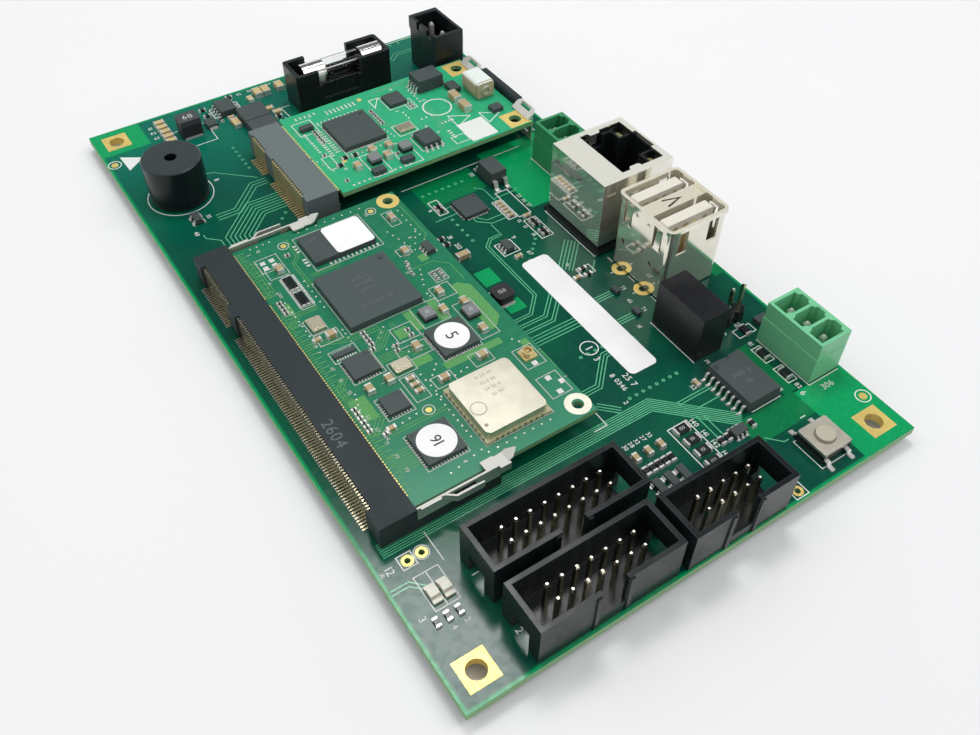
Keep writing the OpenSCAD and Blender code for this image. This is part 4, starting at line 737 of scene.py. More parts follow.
class PartFinishOperator(bpy.types.Operator):
    """Gives the moulded, plated, glass and soldered parts their finishes."""

    bl_idname = "board.finish_parts"
    bl_label = "Plastic, metal and glass parts"

    def execute(self, context):
        self.finish_plastics()
        self.finish_metals()
        give("jack_lights", milky("Light window", (0.55, 0.53, 0.27)))
        give("indicator_leds", milky("Lamp body", (0.72, 0.70, 0.58)))
        give("fuse_glass", clear_glass("Tube glass"))
        give("board_label module_labels", paper_finish("Label paper"))
        return {"FINISHED"}

    def finish_plastics(self):
        """Housings, chips, ceramics and other moulded or fired bodies."""
        give("sodimm_socket_housing card_latch_bar",
             moulded("Socket plastic", (0.022, 0.032, 0.035), 0.5, grain=5000.0, edge=1.9, shine=0.25))
        give("card_socket_housing",
             moulded("Card socket plastic", (0.125, 0.155, 0.155), 0.5, grain=5000.0, shine=0.25))
        # edge=7.0 paints a strong highlight along the edges of the black plastic.
        give("large_header_housing medium_header_housing small_header_housing fuse_holder_body"
             " inlet_housing jumper_base jack_housing switch_base",
             moulded("Black plastic", (0.010, 0.013, 0.014), 0.26, grain=3000.0, depth=0.08, edge=7.0,
                     radius=0.00012, shine=0.3))
        # The buzzer case is one black plastic: its lighter top is painted light from above, and its darker
        # sides painted shade.
        give("buzzer_case",
             two_faced("Buzzer case", (0.034, 0.046, 0.047), (0.005, 0.009, 0.010), 0.3, shine=0.3))
        give("power_converter",
             moulded("Converter case", (0.010, 0.011, 0.013), 0.32, grain=2200.0, depth=0.3, shine=0.3))
        give("carrier_chips card_chips module_control_chips module_memory_chip",
             moulded("Chip epoxy", (0.054, 0.070, 0.070), 0.46, grain=7000.0, depth=0.35, edge=1.5, shine=0.3))
        give("module_processor",
             moulded("Processor epoxy", (0.060, 0.080, 0.079), 0.42, grain=8000.0, depth=0.3, shine=0.3))
        give("chip_inductors",
             moulded("Ferrite", (0.022, 0.023, 0.026), 0.5, grain=4500.0, depth=0.5, edge=1.4, shine=0.3))
        give("inductor_tops", moulded("Inductor lid", (0.19, 0.20, 0.21), 0.42, grain=4000.0, depth=0.3,
                                      left_of=-50.0, left_colour=(0.055, 0.056, 0.062)))
        give("usb_tongues", moulded("White tongue", (0.70, 0.67, 0.58), 0.4, edge=1.1))
        give("terminal_housings", moulded("Terminal green", (0.165, 0.530, 0.280), 0.36, grain=2600.0, edge=1.5,
                                          coat=0.1, left_of=20.0, left_colour=(0.036, 0.255, 0.105)))
        give("chip_capacitors", moulded("Capacitor ceramic", (0.42, 0.32, 0.17), 0.42, grain=9000.0, edge=1.1,
                                        left_of=-60.0, left_colour=(0.56, 0.43, 0.21)))
        give("chip_resistors", moulded("Resistor glaze", (0.016, 0.017, 0.020), 0.22, grain=5000.0, depth=0.15))
        give("module_radio_base", moulded("Radio base", (0.44, 0.43, 0.25), 0.45, edge=1.2))
        give("switch_plunger", moulded("Switch button", (0.45, 0.42, 0.33), 0.38, edge=1.2))
        give("card_transformer", two_faced("Coil body", (0.74, 0.80, 0.75), (0.48, 0.41, 0.26)))

    def finish_metals(self):
        """Contacts, pins, springs, shells, lids and solder."""
        give("card_socket_contacts jack_contacts usb_contacts module_antenna_socket",
             thin_metal("Contact gold", (0.88, 0.70, 0.36), 0.28, plating=0.6))
        give("sodimm_contacts", thin_metal("Contact tin", (0.66, 0.59, 0.42), 0.22, plating=0.85))
        # The pins' tops get a painted highlight: a whiter, partly diffuse colour.
        give("header_pins", thin_metal("Pin gold", (0.80, 0.72, 0.50), 0.18, top_rough=0.3,
                                       top_colour=(1.0, 0.97, 0.86)))
        # The upward faces get a darker, duller colour: painted shade that holds back the lamps' reflection on
        # them.
        give("sodimm_latch_left sodimm_latch_right card_hook_left card_hook_right",
             thin_metal("Spring steel", (0.84, 0.82, 0.77), 0.34, plating=0.85, top_rough=0.55,
                        top_colour=(0.60, 0.59, 0.55)))
        give("chip_leads chip_end_caps switch_leads terminal_pins inlet_pins wire_pins fuse_clips fuse_wire",
             thin_metal("Tinned copper", (0.86, 0.85, 0.81), 0.28, plating=0.6))
        # The shells' tops get a pale, partly diffuse colour: painted light from above.
        give("usb_shell", metal("Port steel", (0.96, 0.92, 0.80), 0.09, grain=160.0, depth=0.012, dull=0.2,
                                plating=0.85, top_rough=0.35, top_colour=(0.74, 0.70, 0.57)))
        give("jack_shield", metal("Jack steel", (0.96, 0.94, 0.85), 0.07, grain=140.0, depth=0.012, dull=0.2,
                                  plating=0.88, top_rough=0.34, top_colour=(0.80, 0.79, 0.70)))
        give("module_radio_shield",
             metal("Radio lid", (0.72, 0.69, 0.57), 0.42, grain=5000.0, depth=0.12, dull=0.15))
        give("crystals", metal("Crystal lid", (0.74, 0.68, 0.52), 0.32, grain=2500.0, dull=0.12))
        give("switch_cover", metal("Switch steel", (0.70, 0.66, 0.56), 0.42, depth=0.0, dull=0.15))
        give("fuse_caps", metal("Fuse cap", (0.88, 0.87, 0.84), 0.18, depth=0.0, dull=0.15))
        give("solder_joints", metal("Solder", (0.80, 0.79, 0.76), 0.26, grain=1600.0, depth=0.3))


class BoardFinishOperator(bpy.types.Operator):
    """Gives the carrier board, the computer module and the mini card their solder masks."""

    bl_idname = "board.finish_boards"
    bl_label = "Circuit boards"

    def execute(self, context):
        colours = context.scene.board_colours
        edge, card, module = tuple(colours.laminate), tuple(colours.card_mask), (0.010, 0.165, 0.080)
        give("carrier_board", board_mask(
            "Carrier mask", tuple(colours.mask_dark), tuple(colours.mask_lit), edge, "carrier_board", rim=0.8,
            far=((0.001, 0.135, 0.095), -0.070, -0.025)))
        give("module_board", board_mask("Module mask", module, scaled(module, 1.5), edge, "module_board",
                                        gloss=0.28, far=((0.045, 0.250, 0.150), 0.060, 0.025)))
        give("card_board", board_mask("Card mask", card, scaled(card, 1.5), edge, "card_board", gloss=0.28))
        return {"FINISHED"}


class StageOperator(bpy.types.Operator):
    """Adds the floor, the soft light and the camera at the photograph's viewing angle."""

    bl_idname = "board.add_stage"
    bl_label = "Floor, light and camera"

    def execute(self, context):
        scene = context.scene
        scene.view_settings.view_transform = "Standard"
        self.add_floor(scene)
        self.add_world(scene)
        self.add_lamps(scene)
        self.add_camera(scene)
        return {"FINISHED"}

    def add_floor(self, scene, half=6.0, drop=2e-5):
        """A pale sheet a hair under the board, far larger than the view."""
        mesh = bpy.data.meshes.new("floor")
        corners = [(x * half, y * half, -drop) for x, y in ((-1, -1), (1, -1), (1, 1), (-1, 1))]
        mesh.from_pydata(corners, [], [(0, 1, 2, 3)])
        floor = bpy.data.objects.new("floor", mesh)
        material, tree, shader = new_material("Floor paper")
        tone = mix(tree, use(tree, "Handling", 4.0)["Slow"], (0.790, 0.785, 0.790), (0.808, 0.802, 0.806))
        fill(tree, shader, {"Base Color": tone, "Roughness": 0.7, "Specular IOR Level": 0.2})
        mesh.materials.append(material)
        scene.collection.objects.link(floor)

    def add_world(self, scene):
        """A room that is white near the horizon and grey above, and an even light for the shadows."""
        scene.world = bpy.data.worlds.new("Room")
        scene.world.use_nodes = True
        tree = scene.world.node_tree
        tree.nodes.clear()
        rise = ramp(tree, axes(tree, add(tree, "TexCoord").outputs["Generated"])["Z"], 0.25, 0.58)
        seen = mix(tree, rise, (1.0, 1.0, 1.0), (0.12, 0.13, 0.135))
        rays = add(tree, "LightPath").outputs
        shown = maths(tree, "ADD", rays["Is Camera Ray"], rays["Is Glossy Ray"], clamp=True)
        shown = maths(tree, "ADD", shown, rays["Is Transmission Ray"], clamp=True)
        light = add(tree, "Background", {"Color": mix(tree, shown, (0.60, 0.61, 0.62), seen)})
        add(tree, "OutputWorld", {"Surface": light.outputs[0]})

    def add_lamps(self, scene):
        """A large soft lamp high at the back, a low one at the left, and a window beyond the near corner."""
        for name, spot, target, size, watts in (
                ("soft_box", (0.35, 0.45, 0.80), (0.0, 0.0, 0.0), (0.6, 0.5), 2.6),
                ("fill_box", (-0.50, -0.50, 0.80), (0.0, 0.0, 0.0), (0.6, 0.6), 1.4),
                ("window", (-0.155, 0.085, 0.531), (0.02, -0.03, 0.0), (0.19, 0.13), 1.0)):
            data = bpy.data.lights.new(name, "AREA")
            data.shape = "RECTANGLE"
            data.size, data.size_y = size
            data.energy = watts
            lamp = bpy.data.objects.new(name, data)
            aim = (Vector(target) - Vector(spot)).to_track_quat("-Z", "Y")
            lamp.matrix_world = Matrix.Translation(spot) @ aim.to_matrix().to_4x4()
            scene.collection.objects.link(lamp)

    def add_camera(self, scene):
        """The camera that was solved from the board's outline and its standard parts."""
        data = bpy.data.cameras.new("camera")
        data.lens = 35.30
        data.sensor_width = 36.0
        data.clip_start = 0.005
        right = Vector((0.55261314, 0.83337425, 0.01029929))
        down = Vector((0.62549386, -0.40653685, -0.66594686))
        ahead = Vector((-0.55079592, 0.37445313, -0.74592808))
        turn = Matrix((right, -down, -ahead)).transposed().to_4x4()
        camera = bpy.data.objects.new("camera", data)
        camera.matrix_world = Matrix.Translation((0.120496, -0.070784, 0.129036)) @ turn
        scene.collection.objects.link(camera)
        scene.camera = camera


# Where the carrier's copper, print and pads lie. Boxes are x0, x1, y0, y1. Tracks are a count of
# lines, their pitch and the x, y of each corner. Rows of vias are x, y, step in x, step in y, count,
# and rows of pads have their width and length after that. Numbers are height, turn in degrees, and
# then text, x, y for each. Rings have their inner and outer radius.

CORNER_HOLES = [(x, y) for x in (-72.825, 72.825) for y in (-39.83, 39.83)]
CORNER_PAD, CORNER_HOLE, WALL = 5.3, 1.65, 0.05
VIA, PORT_RING, TEST_PAD = (0.14, 0.34), (0.75, 1.75), (0.5, 1.0)
FIDUCIAL, FIDUCIAL_RING = 0.75, (1.25, 1.45)
LIT_WINDOWS = (
    (61, 70.4, 33, 44.3), (75.2, 77.3, 33, 44.3), (70.4, 75.2, 33, 37.4), (70.4, 75.2, 42.2, 44.3),
    (-77.3, -75.2, -44.3, -33.6), (-70.4, -68.3, -44.3, -33.6), (-75.2, -70.4, -44.3, -42.2),
    (-75.2, -70.4, -37.4, -33.6), (-26, -4.5, 24.2, 44.3), (5.8, 10.3, 3, 6.6), (15.6, 18.7, 3, 6.6))
HALF_LIT = (
    (60.5, 66, 20, 33), (-60, -55, -1, 31), (-23.4, -15.5, 6, 20.2), (-55, -53.6, -10, 30),
    (48, 60.5, 31.4, 34.2), (16, 31.5, 41.8, 44.3))
TRACKS = (
    (2, 0.55, -1, 13.8, -1, 11.4, 0.7, 9.6, 16.9, 9.6, 20.7, 6, 20.7, -0.5),
    (4, 0.75, 26.9, 12.2, 26.9, -0.5), (2, 0.6, 18.3, 12.3, 22.5, 8, 22.5, -0.5),
    (2, 0.6, 20.6, 12.3, 24.2, 8.6, 24.2, -0.5), (7, 0.42, 49.5, -42, 49.5, 10.5, 55.6, 16.6, 60.4, 21.4),
    (2, 0.6, 52, 22.3, 52, 14.6), (1, 0, 54.5, 22, 54.5, 16.6), (1, 0, 56.3, 16.6, 61, 16.6),
    (1, 0, 55.6, 15.4, 61, 15.4), (3, 0.6, 44.8, 2.6, 47.8, 5.6),
    (1, 0, -16.5, 17.5, -15, 19, -10.7, 19, -9.5, 20.5), (1, 0, -11.2, 19.2, -11.2, 24.5, -12, 25.2),
    (1, 0, -4.8, 20.5, -4.8, 14.5, -7, 12, -9, 12), (1, 0, -6.2, 18.5, -6.2, 14.2, -8, 12.6),
    (1, 0, -4.6, 14, -0.7, 14), (1, 0, -11.3, 10.4, -11.3, 5), (1, 0, -13.9, 10.2, -13.9, 8),
    (5, 0.7, 8.2, 24.8, 14.4, 18.6), (1, 0, 15.3, 25, 18, 22.3, 18, 21), (3, 0.6, 24.4, 22.1, 24.4, 18.4),
    (3, 0.6, 31.2, 21.8, 31.2, 18.4), (3, 0.6, 36.2, 18.5, 36.2, 11, 41.5, 5.7, 41.5, -0.5),
    (1, 0, -44.3, -19, -51, -26.3, -51.5, -28), (1, 0, -33, -36, -31.7, -35.9, -29.6, -33.6, -27, -33.6),
    (7, 0.85, -35, -17.8, -35, -23.8, -28.9, -30, -26, -30),
    (3, 0.9, -42.5, -17.8, -42.5, -21, -36.5, -27, -36.5, -31.5),
    (4, 0.8, -26.2, -19.4, -24, -19.4, -21.5, -21.9), (1, 0, 67.7, 25, 67.7, 24, 65.3, 21.8),
    (2, 0.7, 56.5, -44, 56.5, -41, 60.5, -37), (2, 0.9, -71.5, 38.5, -71.5, 30, -69.8, 28.2, -69.8, 24))
VIAS = (
    (-75.9, 8, 0, 2.3, 12), (-57.5, 26, 0, -2.6, 10), (-19.8, 7, 0, 1.6, 7), (6, 16.8, -1.1, 1.1, 4),
    (34.4, 16.8, 0, -1.6, 7), (46.5, 8.5, 0, 1.5, 8), (-48.5, -19.2, -1.7, 0, 6),
    (-30.6, -19.2, 1.4, -1.4, 3), (-24, -24, 0, -2.2, 8), (-2.5, 8.2, -1.9, 0, 5), (11.4, 2, 0, 1.6, 3))
FIDUCIALS = ((68, 42.5), (-64.75, -43))
PORT_RINGS = ((20, 27.7), (26.7, 27.7))
TEST_PADS = ((52.9, -36.7), (53, -39.2), (75.9, 18.7))
PRINT_BOXES = (
    (-2.1, 14.4, 25.7, 43.6), (74.7, 77.1, 17.4, 20), (51.7, 54.2, -40.5, -38.1), (49.6, 53.4, 33.9, 35.9),
    (55.1, 58.9, 33.9, 35.9), (44.4, 46.4, 34.2, 38.2), (-12.4, -3.5, 20.2, 23.1),
    (-10.2, -3.9, 17.9, 19.9), (-2, 4.5, 20.2, 23), (55.4, 65.4, 9.3, 13.4), (-17.3, -12.5, 6.7, 8.8),
    (1.2, 4.9, 10.9, 14.6), (15.5, 17.9, 20.3, 23.3), (-69.4, -62, -29.2, -20.6),
    (-73.3, -69.5, -18, -11.4), (68.6, 75, 25.2, 31.9), (56, 62.4, -37.9, -35.8), (56, 62.4, -40, -37.9))
PRINT_LINES = (
    (34.4, 23.2, 46.3, 23.2), (48.2, 36.5, 61.2, 36.5, 61.2, 43.6), (-18.6, 33.7, -5.4, 33.7),
    (60.2, 23.9, 60.2, 30.6), (-23.6, 4, -23.6, 34), (-65.4, -3.8, -65.4, -1.6), (-65.4, -3.8, -60.1, -3.4),
    (43.6, 1.6, 49, 1.6, 49, -1), (16, 27.7, 17.6, 27.7), (22.3, 27.7, 24.4, 27.7), (29.1, 27.7, 31, 27.7),
    (20, 25.3, 20, 26.4), (26.7, 25.3, 26.7, 26.4), (-76.8, 24, -76.8, 43.4, -54.2, 43.4),
    (-52.8, -8.4, -52.8, 40.4, -24, 40.4), (50.1, -34.6, 55.9, -34.6))
PRINT_RINGS = ((-47.5, -34.9, 6.6, 6.8), (33.4, 9.8, 1.55, 1.75), (52.9, -36.7, 1.15, 1.3))
TRIANGLE = ((-61.2, -40.9), (-64.2, -36.9), (-66.9, -41.2))
NUMBERS = (
    (0.9, 0, "140", 56.6, 14.2, "141", 59.2, 14.2, "142", 61.8, 14.2, "143", 64.4, 14.2, "81", 48.4, 34.9,
     "82", 60.2, 34.9, "67", 6.7, 15.7, "5", 3.4, 1.9, "2", 46.9, 7.4, "35", -37.9, -32.8, "40", -34,
     -36.9, "2", 65.9, -36.8, "4", 65.9, -38.9, "50", -20.6, 19.6),
    (0.8, 0, "33", 54.4, 6.2, "27", 54.4, 4.9, "32", 54.4, 3.6, "28", 54.4, 2.4, "30", 54.4, 1.2, "52",
     50.6, 19.3, "25", -9.2, 24.1, "26", -7.4, 24.1, "27", -5.6, 24.1, "12", -2.4, 19.5, "13", -0.3, 19.5,
     "14", 2.6, 19.5, "45", 27.9, 23.6, "76", 31.1, 24.5, "75", 24.5, 24.8, "8", -14.9, 5.9),
    (0.9, 90, "80", 43.6, 36.2, "31", 47.4, 25.4, "1", 67.4, 17.6, "61", -73.6, -31.9, "62", -71.6, -31.9,
     "63", -69.4, -31.9, "60", -66.7, -31.9),
    (1.2, 0, "25 7", 43.2, 11.2, "3", 36.2, 9.4, "1", 65.6, 30.4, "1", 60.3, -31.9, "2", 71.3, -31.6, "3",
     62.4, -42.2, "6", 61.9, 34.4),
    (1, 0, "8 0346", 42.6, 9.2, "9", 1.1, 15.6, "31", -5.8, 4.9, "212", -2.6, 4.9),
    (1.5, 0, "1", 33.4, 9.8), (1.1, 0, "8", -48.3, -26.7, "1", -56.6, 36.6), (1.3, 0, "12", 53.2, -42.3),
    (0.7, 0, "10", 53.2, -43.6, "7", 8.4, 14.4), (1.2, 90, "306", 62.8, 39.3, "2", -57, 15),
    (0.8, 90, "52", -75.9, -9.6, "53", -75.9, -7, "54", -76.2, -2, "55", -76.2, 3, "16", 34.1, 20.9),
    (0.8, 45, "11", 13.5, 19.8), (1, 90, "0", 41.4, 32.7, "3", 43.9, 32.7))

# The computer module's copper, print and pads. The rows named finger lie along its contact edge.

MODULE_FILLS = (((10.5, -5), (23.7, -5), (23.7, -3.7), (21.5, -1.6), (12, -1.6), (10.2, -3.5)),)
MODULE_PATCHES = (
    (25.9, 27.4, -8.4, -4.8), (11.6, 17.2, -11, -9.3), (11.8, 17, -16, -14.2), (0.1, 2, -6, -4.3),
    (14.8, 17.2, -19.5, -17), (22.4, 24.3, -20.3, -17), (24.8, 30.2, -33.8, -30.7),
    (28.6, 30.2, -2.4, -0.9), (-1.5, 1.5, -33.6, -31.8), (25.9, 27.5, -16.2, -8.4))
MODULE_TRACKS = (
    (1, 0, 10, -1.8, 5.2, -1.8, 2.8, -4.2, 2.8, -9), (4, 0.55, 13.7, -20.3, 16.6, -23.2, 16.6, -25.1),
    (3, 0.6, 12.4, -21, 12.4, -26.4, 9.6, -33.4), (3, 0.7, 20.7, -19.7, 20.7, -15.9),
    (2, 0.6, 34.4, -20.5, 34.4, -30.6, 32.2, -33.6), (3, 0.6, 30.3, -29.8, 30.3, -30.6, 33.4, -33.6),
    (8, 0.55, 39.9, -29.9, 39.9, -33.8), (2, 0.5, -17.5, -24.8, -12, -24.8, -10.5, -26.3, -3, -26.3),
    (2, 0.5, -5.8, -25.2, -5.8, -20, -6.3, -19), (2, 0.6, 12.7, -18.9, 14.6, -18.9),
    (2, 0.6, -15.3, -32.8, -6, -32.8, -4.6, -34.4), (3, 0.5, 2, -27.7, 2, -31.5, 4.6, -34.3),
    (4, 0.5, 19.5, -25.1, 19.5, -21.9, 21, -20.4), (1, 0, -17.6, -1.2, -4.5, -1.2, -3, -2.7),
    (1, 0, 32.8, -0.9, 32.8, -0.4, 37, -0.4), (3, 0.5, 24.4, -33.4, 21.5, -33.4, 19.7, -31.6))
MODULE_BOXES = (
    (-14.3, -9.8, -5.7, -3.5), (5.3, 8.4, -6.6, -4), (-3.4, -1.4, -8.7, -6), (9, 12.6, -8.9, -4.9),
    (11.5, 17.3, -14.5, -9.1), (15, 24.9, -7.5, -3.8), (18.1, 25.8, -15.6, -8), (26.8, 29.8, -11.8, -8.1),
    (-3.7, 11.5, -26, -11), (-16.8, -6.3, -23.6, -9.5), (-14.9, -10.9, -32.3, -28),
    (-11.5, -8.6, -31.8, -28), (-8, 1.5, -30.3, -27.9), (4.3, 8.1, -31.8, -28.6), (8.4, 11.3, -31.7, -27.4),
    (13.4, 16.3, -31.5, -26.6), (16.4, 22.2, -31, -25), (26.9, 32, -30, -25), (21.1, 24.5, -24.4, -20.3),
    (25, 31, -24.2, -21.4), (27.8, 30.4, -19.8, -16), (30.1, 35, -4.9, -1.1), (37.5, 42.5, -5.1, -1.1),
    (36, 43.9, -29.8, -22.2), (14.2, 18, -20, -15.7), (31.6, 44.7, -19.6, -6.6), (19.2, 22.3, -21.6, -15.9))
MODULE_ROWS = (
    (-6.9, -10.5, 0, -0.9, 12, 0.7, 0.4), (-14.8, -24.2, 0.9, 0, 3, 0.45, 0.8),
    (-10.4, -24.2, 0.9, 0, 3, 0.45, 0.8), (-7.7, -27.9, 0.5, 0, 18, 0.28, 0.6),
    (-7.7, -30.3, 0.5, 0, 18, 0.28, 0.6), (14, -27.4, 0, -0.48, 8, 0.6, 0.26),
    (15.6, -27.4, 0, -0.48, 8, 0.6, 0.26))
MODULE_VIAS = (
    (-18.2, -8.4, 0, -1.9, 8), (-13.5, -2.3, 1.7, 0, 9), (-9, -7.2, 1.5, 0.4, 5), (3.6, -7.4, 1.3, -0.5, 4),
    (12.9, -20.4, 0.9, -1, 3), (17.9, -19.2, 0, -1.1, 4), (25.4, -17.2, 0.9, -0.9, 4),
    (26, -20.6, 1.5, 0.1, 5), (31.2, -20.6, 1.3, 0, 9), (45.7, -8, 0, -1.7, 8), (44.7, -20.6, 0.3, -1.6, 5),
    (32.9, -25.5, 0.2, -1.4, 5), (23.9, -31.9, 1.1, -0.3, 5), (-5.2, -26.8, 1.6, 0, 6),
    (-18.6, -27.6, 0, -1.3, 4), (9.6, -26.7, 1.1, 0, 4), (28.9, -13.2, 0.2, -1.3, 3),
    (9.8, -9.6, 0.9, 0.2, 3), (-1.9, -32.2, 1.4, 0, 8), (20.4, -16.9, 0, -0.9, 4),
    (27.6, -3.1, 1.1, 0.7, 2), (-6.2, -2.6, 1.5, -0.9, 4))
FINGER_TRACKS = (
    (-18.3, -33.6, 1.24, 0, 12, 0.2, 1.5), (-17.7, -34, 1.24, 0, 11, 0.2, 0.9),
    (1, -33.4, 1.24, 0, 31, 0.2, 1.9), (1.6, -34.1, 1.24, 0, 36, 0.2, 0.8))
FINGERS = ((-18.4, -34.95, 0.62, 0, 23, 0.36, 0.6), (-2.6, -34.95, 0.62, 0, 79, 0.36, 0.6))
ANTENNA_PADS = (
    (38.3, -3.1), (41.7, -3.1), (40, -1.5), (30.9, -3), (34.3, -3), (-13.6, -29.4), (-12.1, -29.4),
    (-13.6, -31.2), (-12.1, -31.2))
MODULE_FIDUCIALS = ((-16.2, -6.9), (-16.1, -25.8), (33.3, -23.4))
MODULE_NUMBERS = (
    (0.6, 0, "1", 32.2, -0.6, "202", -4, -32.1, "15", 3.2, -9.8), (0.5, 0, "2", 39.6, -0.4),
    (0.9, 0, "1", -15.6, -11), (0.7, 90, "61", -17.2, -30.5),
    (0.7, 0, "1", 24.3, -26.9, "24", 34.6, -31.9, "7", 12.3, -32.6, "8", -5.2, -4.4, "33", -15.7, -8.2),
    (0.8, 0, "4", 45.2, -24))
CORNER_RINGS = ((-17.2, -2.47), (45.5, -2.3))
FINGER_NUMBERS = tuple((0.62, 0, str(3 + 4 * i), -17.2 + 3.1 * i, -32.4) for i in range(20)
                       if i not in (5, 8, 10, 14))
MODULE_TRACK, MODULE_LINE, MODULE_VIA, CORNER_RING = 0.16, 0.13, 0.17, (1.05, 2.3)
SMALL_FIDUCIAL, SMALL_FIDUCIAL_RING = 0.55, (0.95, 1.1)

# The mini card's copper, print and pads.

CARD_PATCH = (-31, -24.1, 22.4, 28.8)
CARD_TRACK, CARD_LINE, TRIANGLE_LINE = 0.18, 0.16, 0.2
CARD_PAD, CARD_HOLE = 5.2, 1.35
CARD_RING_CENTRE, CARD_RING = (-39.3, 22.6), (3, 3.3)
CARD_PADS = ((-50.45, 34.6), (-26.3, 34.6))
CARD_FIDUCIALS = ((-51.1, 9.4), (-32.8, -3.9))
CARD_BOXES = (
    (-46.4, -34.9, -2.5, 7.9), (-49.2, -43.8, 13.3, 18.2), (-32.3, -26.8, 11.6, 16.7),
    (-38, -34, 10.2, 14.7), (-36, -31.5, -7.6, -5.6), (-32.3, -24.3, -0.8, 3), (-32.3, -24.3, 6, 10.2),
    (-27.8, -25.2, 19, 22.3), (-45.6, -41.7, 17.1, 19.1), (-50.1, -45.1, -7.7, -3.4))
CARD_TRIANGLES = (
    ((-35, 22.7), (-32.7, 27), (-30.5, 22.7)), ((-49.5, 10.9), (-46.3, 10.9), (-49.5, 13.2)),
    ((-32.4, 29.2), (-30.2, 33), (-28.2, 29.2)))
CARD_ROWS = (
    (-50.4, 1, 0, 0.95, 8, 1.6, 0.32), (-47.5, -2.6, 0, 0.95, 11, 1.2, 0.32),
    (-44.5, -3.5, 0.9, 0, 10, 0.35, 1.1), (-42.5, -5, 0.85, 0, 9, 0.4, 0.8),
    (-51.6, -1.5, 0, -1.1, 5, 0.9, 0.4), (-45.5, -6.8, 0.9, 0, 9, 0.5, 0.5),
    (-33.6, -1.5, 0, 1.1, 8, 0.6, 0.4), (-24.6, -6, 0, 1.2, 12, 0.45, 0.5),
    (-33.5, 20.3, 0, 0.9, 4, 0.7, 0.35), (-30.2, 20, 0.9, 0, 4, 0.4, 0.8),
    (-38.2, 8.6, 1.1, 0.2, 4, 0.4, 0.4), (-52, 24, 0, 1.4, 5, 0.35, 0.35),
    (-41.5, 15.2, 1.2, 0, 3, 0.5, 0.35), (-37, -9.3, 1.5, 0.5, 5, 0.35, 0.35),
    (-48.5, 20.6, 1.3, 0, 5, 0.5, 0.4), (-37.2, 17.4, 0, 1.2, 3, 0.6, 0.35))
CARD_FINGERS = ((-50.6, -9.55, 0.8, 0, 33, 0.45, 0.7),)
CARD_TRACKS = (
    (2, 0.55, -33.8, -9, -33.8, -3.5, -34.2, 3, -34.2, 8), (3, 0.45, -51.9, 13, -51.9, 22),
    (3, 0.6, -42.6, 20.3, -33.4, 20.3, -31.9, 18.8), (2, 0.5, -24.2, 11, -24.2, 19),
    (3, 0.5, -43.5, 9.2, -40, 9.2, -38.2, 11), (4, 0.5, -46.5, -9, -46.5, -7.4))
CARD_NUMBERS = (
    (0.8, 0, "4", -31.1, 17.9, "3", -42.7, 14.4, "6", -43.2, 21.6, "7", -51, -2.9),
    (0.7, 90, "10", -50.9, 17.4), (0.7, 0, "21", -30.3, -4.9, "12", -34.2, 16.8))

# Marks on the parts: first the height of the top that carries them, and then as above.

STICKER_NUMBERS = ((5.66, 2.2, 0, "5", 21.9, -11.8), (5.66, 1.9, 180, "16", 39.9, -25.9))
PART_VALUES = (
    (0.6, 0.62, 90, "150", 56.6, 11.35, "151", 59.2, 11.35, "151", 61.8, 11.35, "152", 64.4, 11.35),
    (1.9, 0.9, 90, "150", 14.3, 3.9), (4.3, 1.6, 90, "68", -67.2, -24.75),
    (5.86, 0.8, 90, "15", 18.4, -5.7, "15", 14.8, -12.5))
FAINT_NUMBERS = (
    (5.96, 0.8, 90, "0420 5", 0.6, -18.5, "36 0718", 2.3, -18.5, "2041 6", 4, -18.5,
     "5027 3184 06", 7.6, -18.5),
    (5.76, 0.8, 90, "260", -13.6, -21), (2.5, 1, 90, "1480 2", 53.9, 26.7, "36", 55.9, 26.7),
    (5.2, 2, 0, "2604", 29.7, -38.6))
LID_TOP = 6.76
LID_NUMBERS = (
    (LID_TOP, 0.62, 90, "10 24 60", 33.2, -12.9, "02 11 80", 34.7, -12.9, "24 05 13", 36.2, -12.9,
     "50 90", 37.7, -12.9),)
LID_RING_CENTRE, LID_RING = (38.9, -17.4), (1.25, 1.4)
LID_DOT_CENTRE, LID_DOT = (42.4, -18.2), 0.35
CHIP_DOTS = (
    (5.96, -1.8, -12.6, 0.42), (5.51, 17.4, -26.3, 0.2), (5.51, 28, -26.1, 0.18), (2.5, 50.7, 23.9, 0.5),
    (0.9, -13.5, 15.4, 0.28), (6.44, -44.9, 6.4, 0.45), (6.19, -48, 17.2, 0.25), (6.84, -31.3, 12.9, 0.3),
    (5.56, 19, -14.7, 0.22), (5.56, 37.1, -28.7, 0.22))

# Heights of wetted solder and of chips' lands over their board.

LEAD_SOLDER, CONTACT_SOLDER, LAND = 0.11, 0.09, 0.16


def pad_metal(name, colour, rough, plating, dull=0.3):
    """Thin plating on flat pads, a little dull in patches."""
    return metal(name, tuple(colour), rough, depth=0.0, dull=dull, plating=plating)


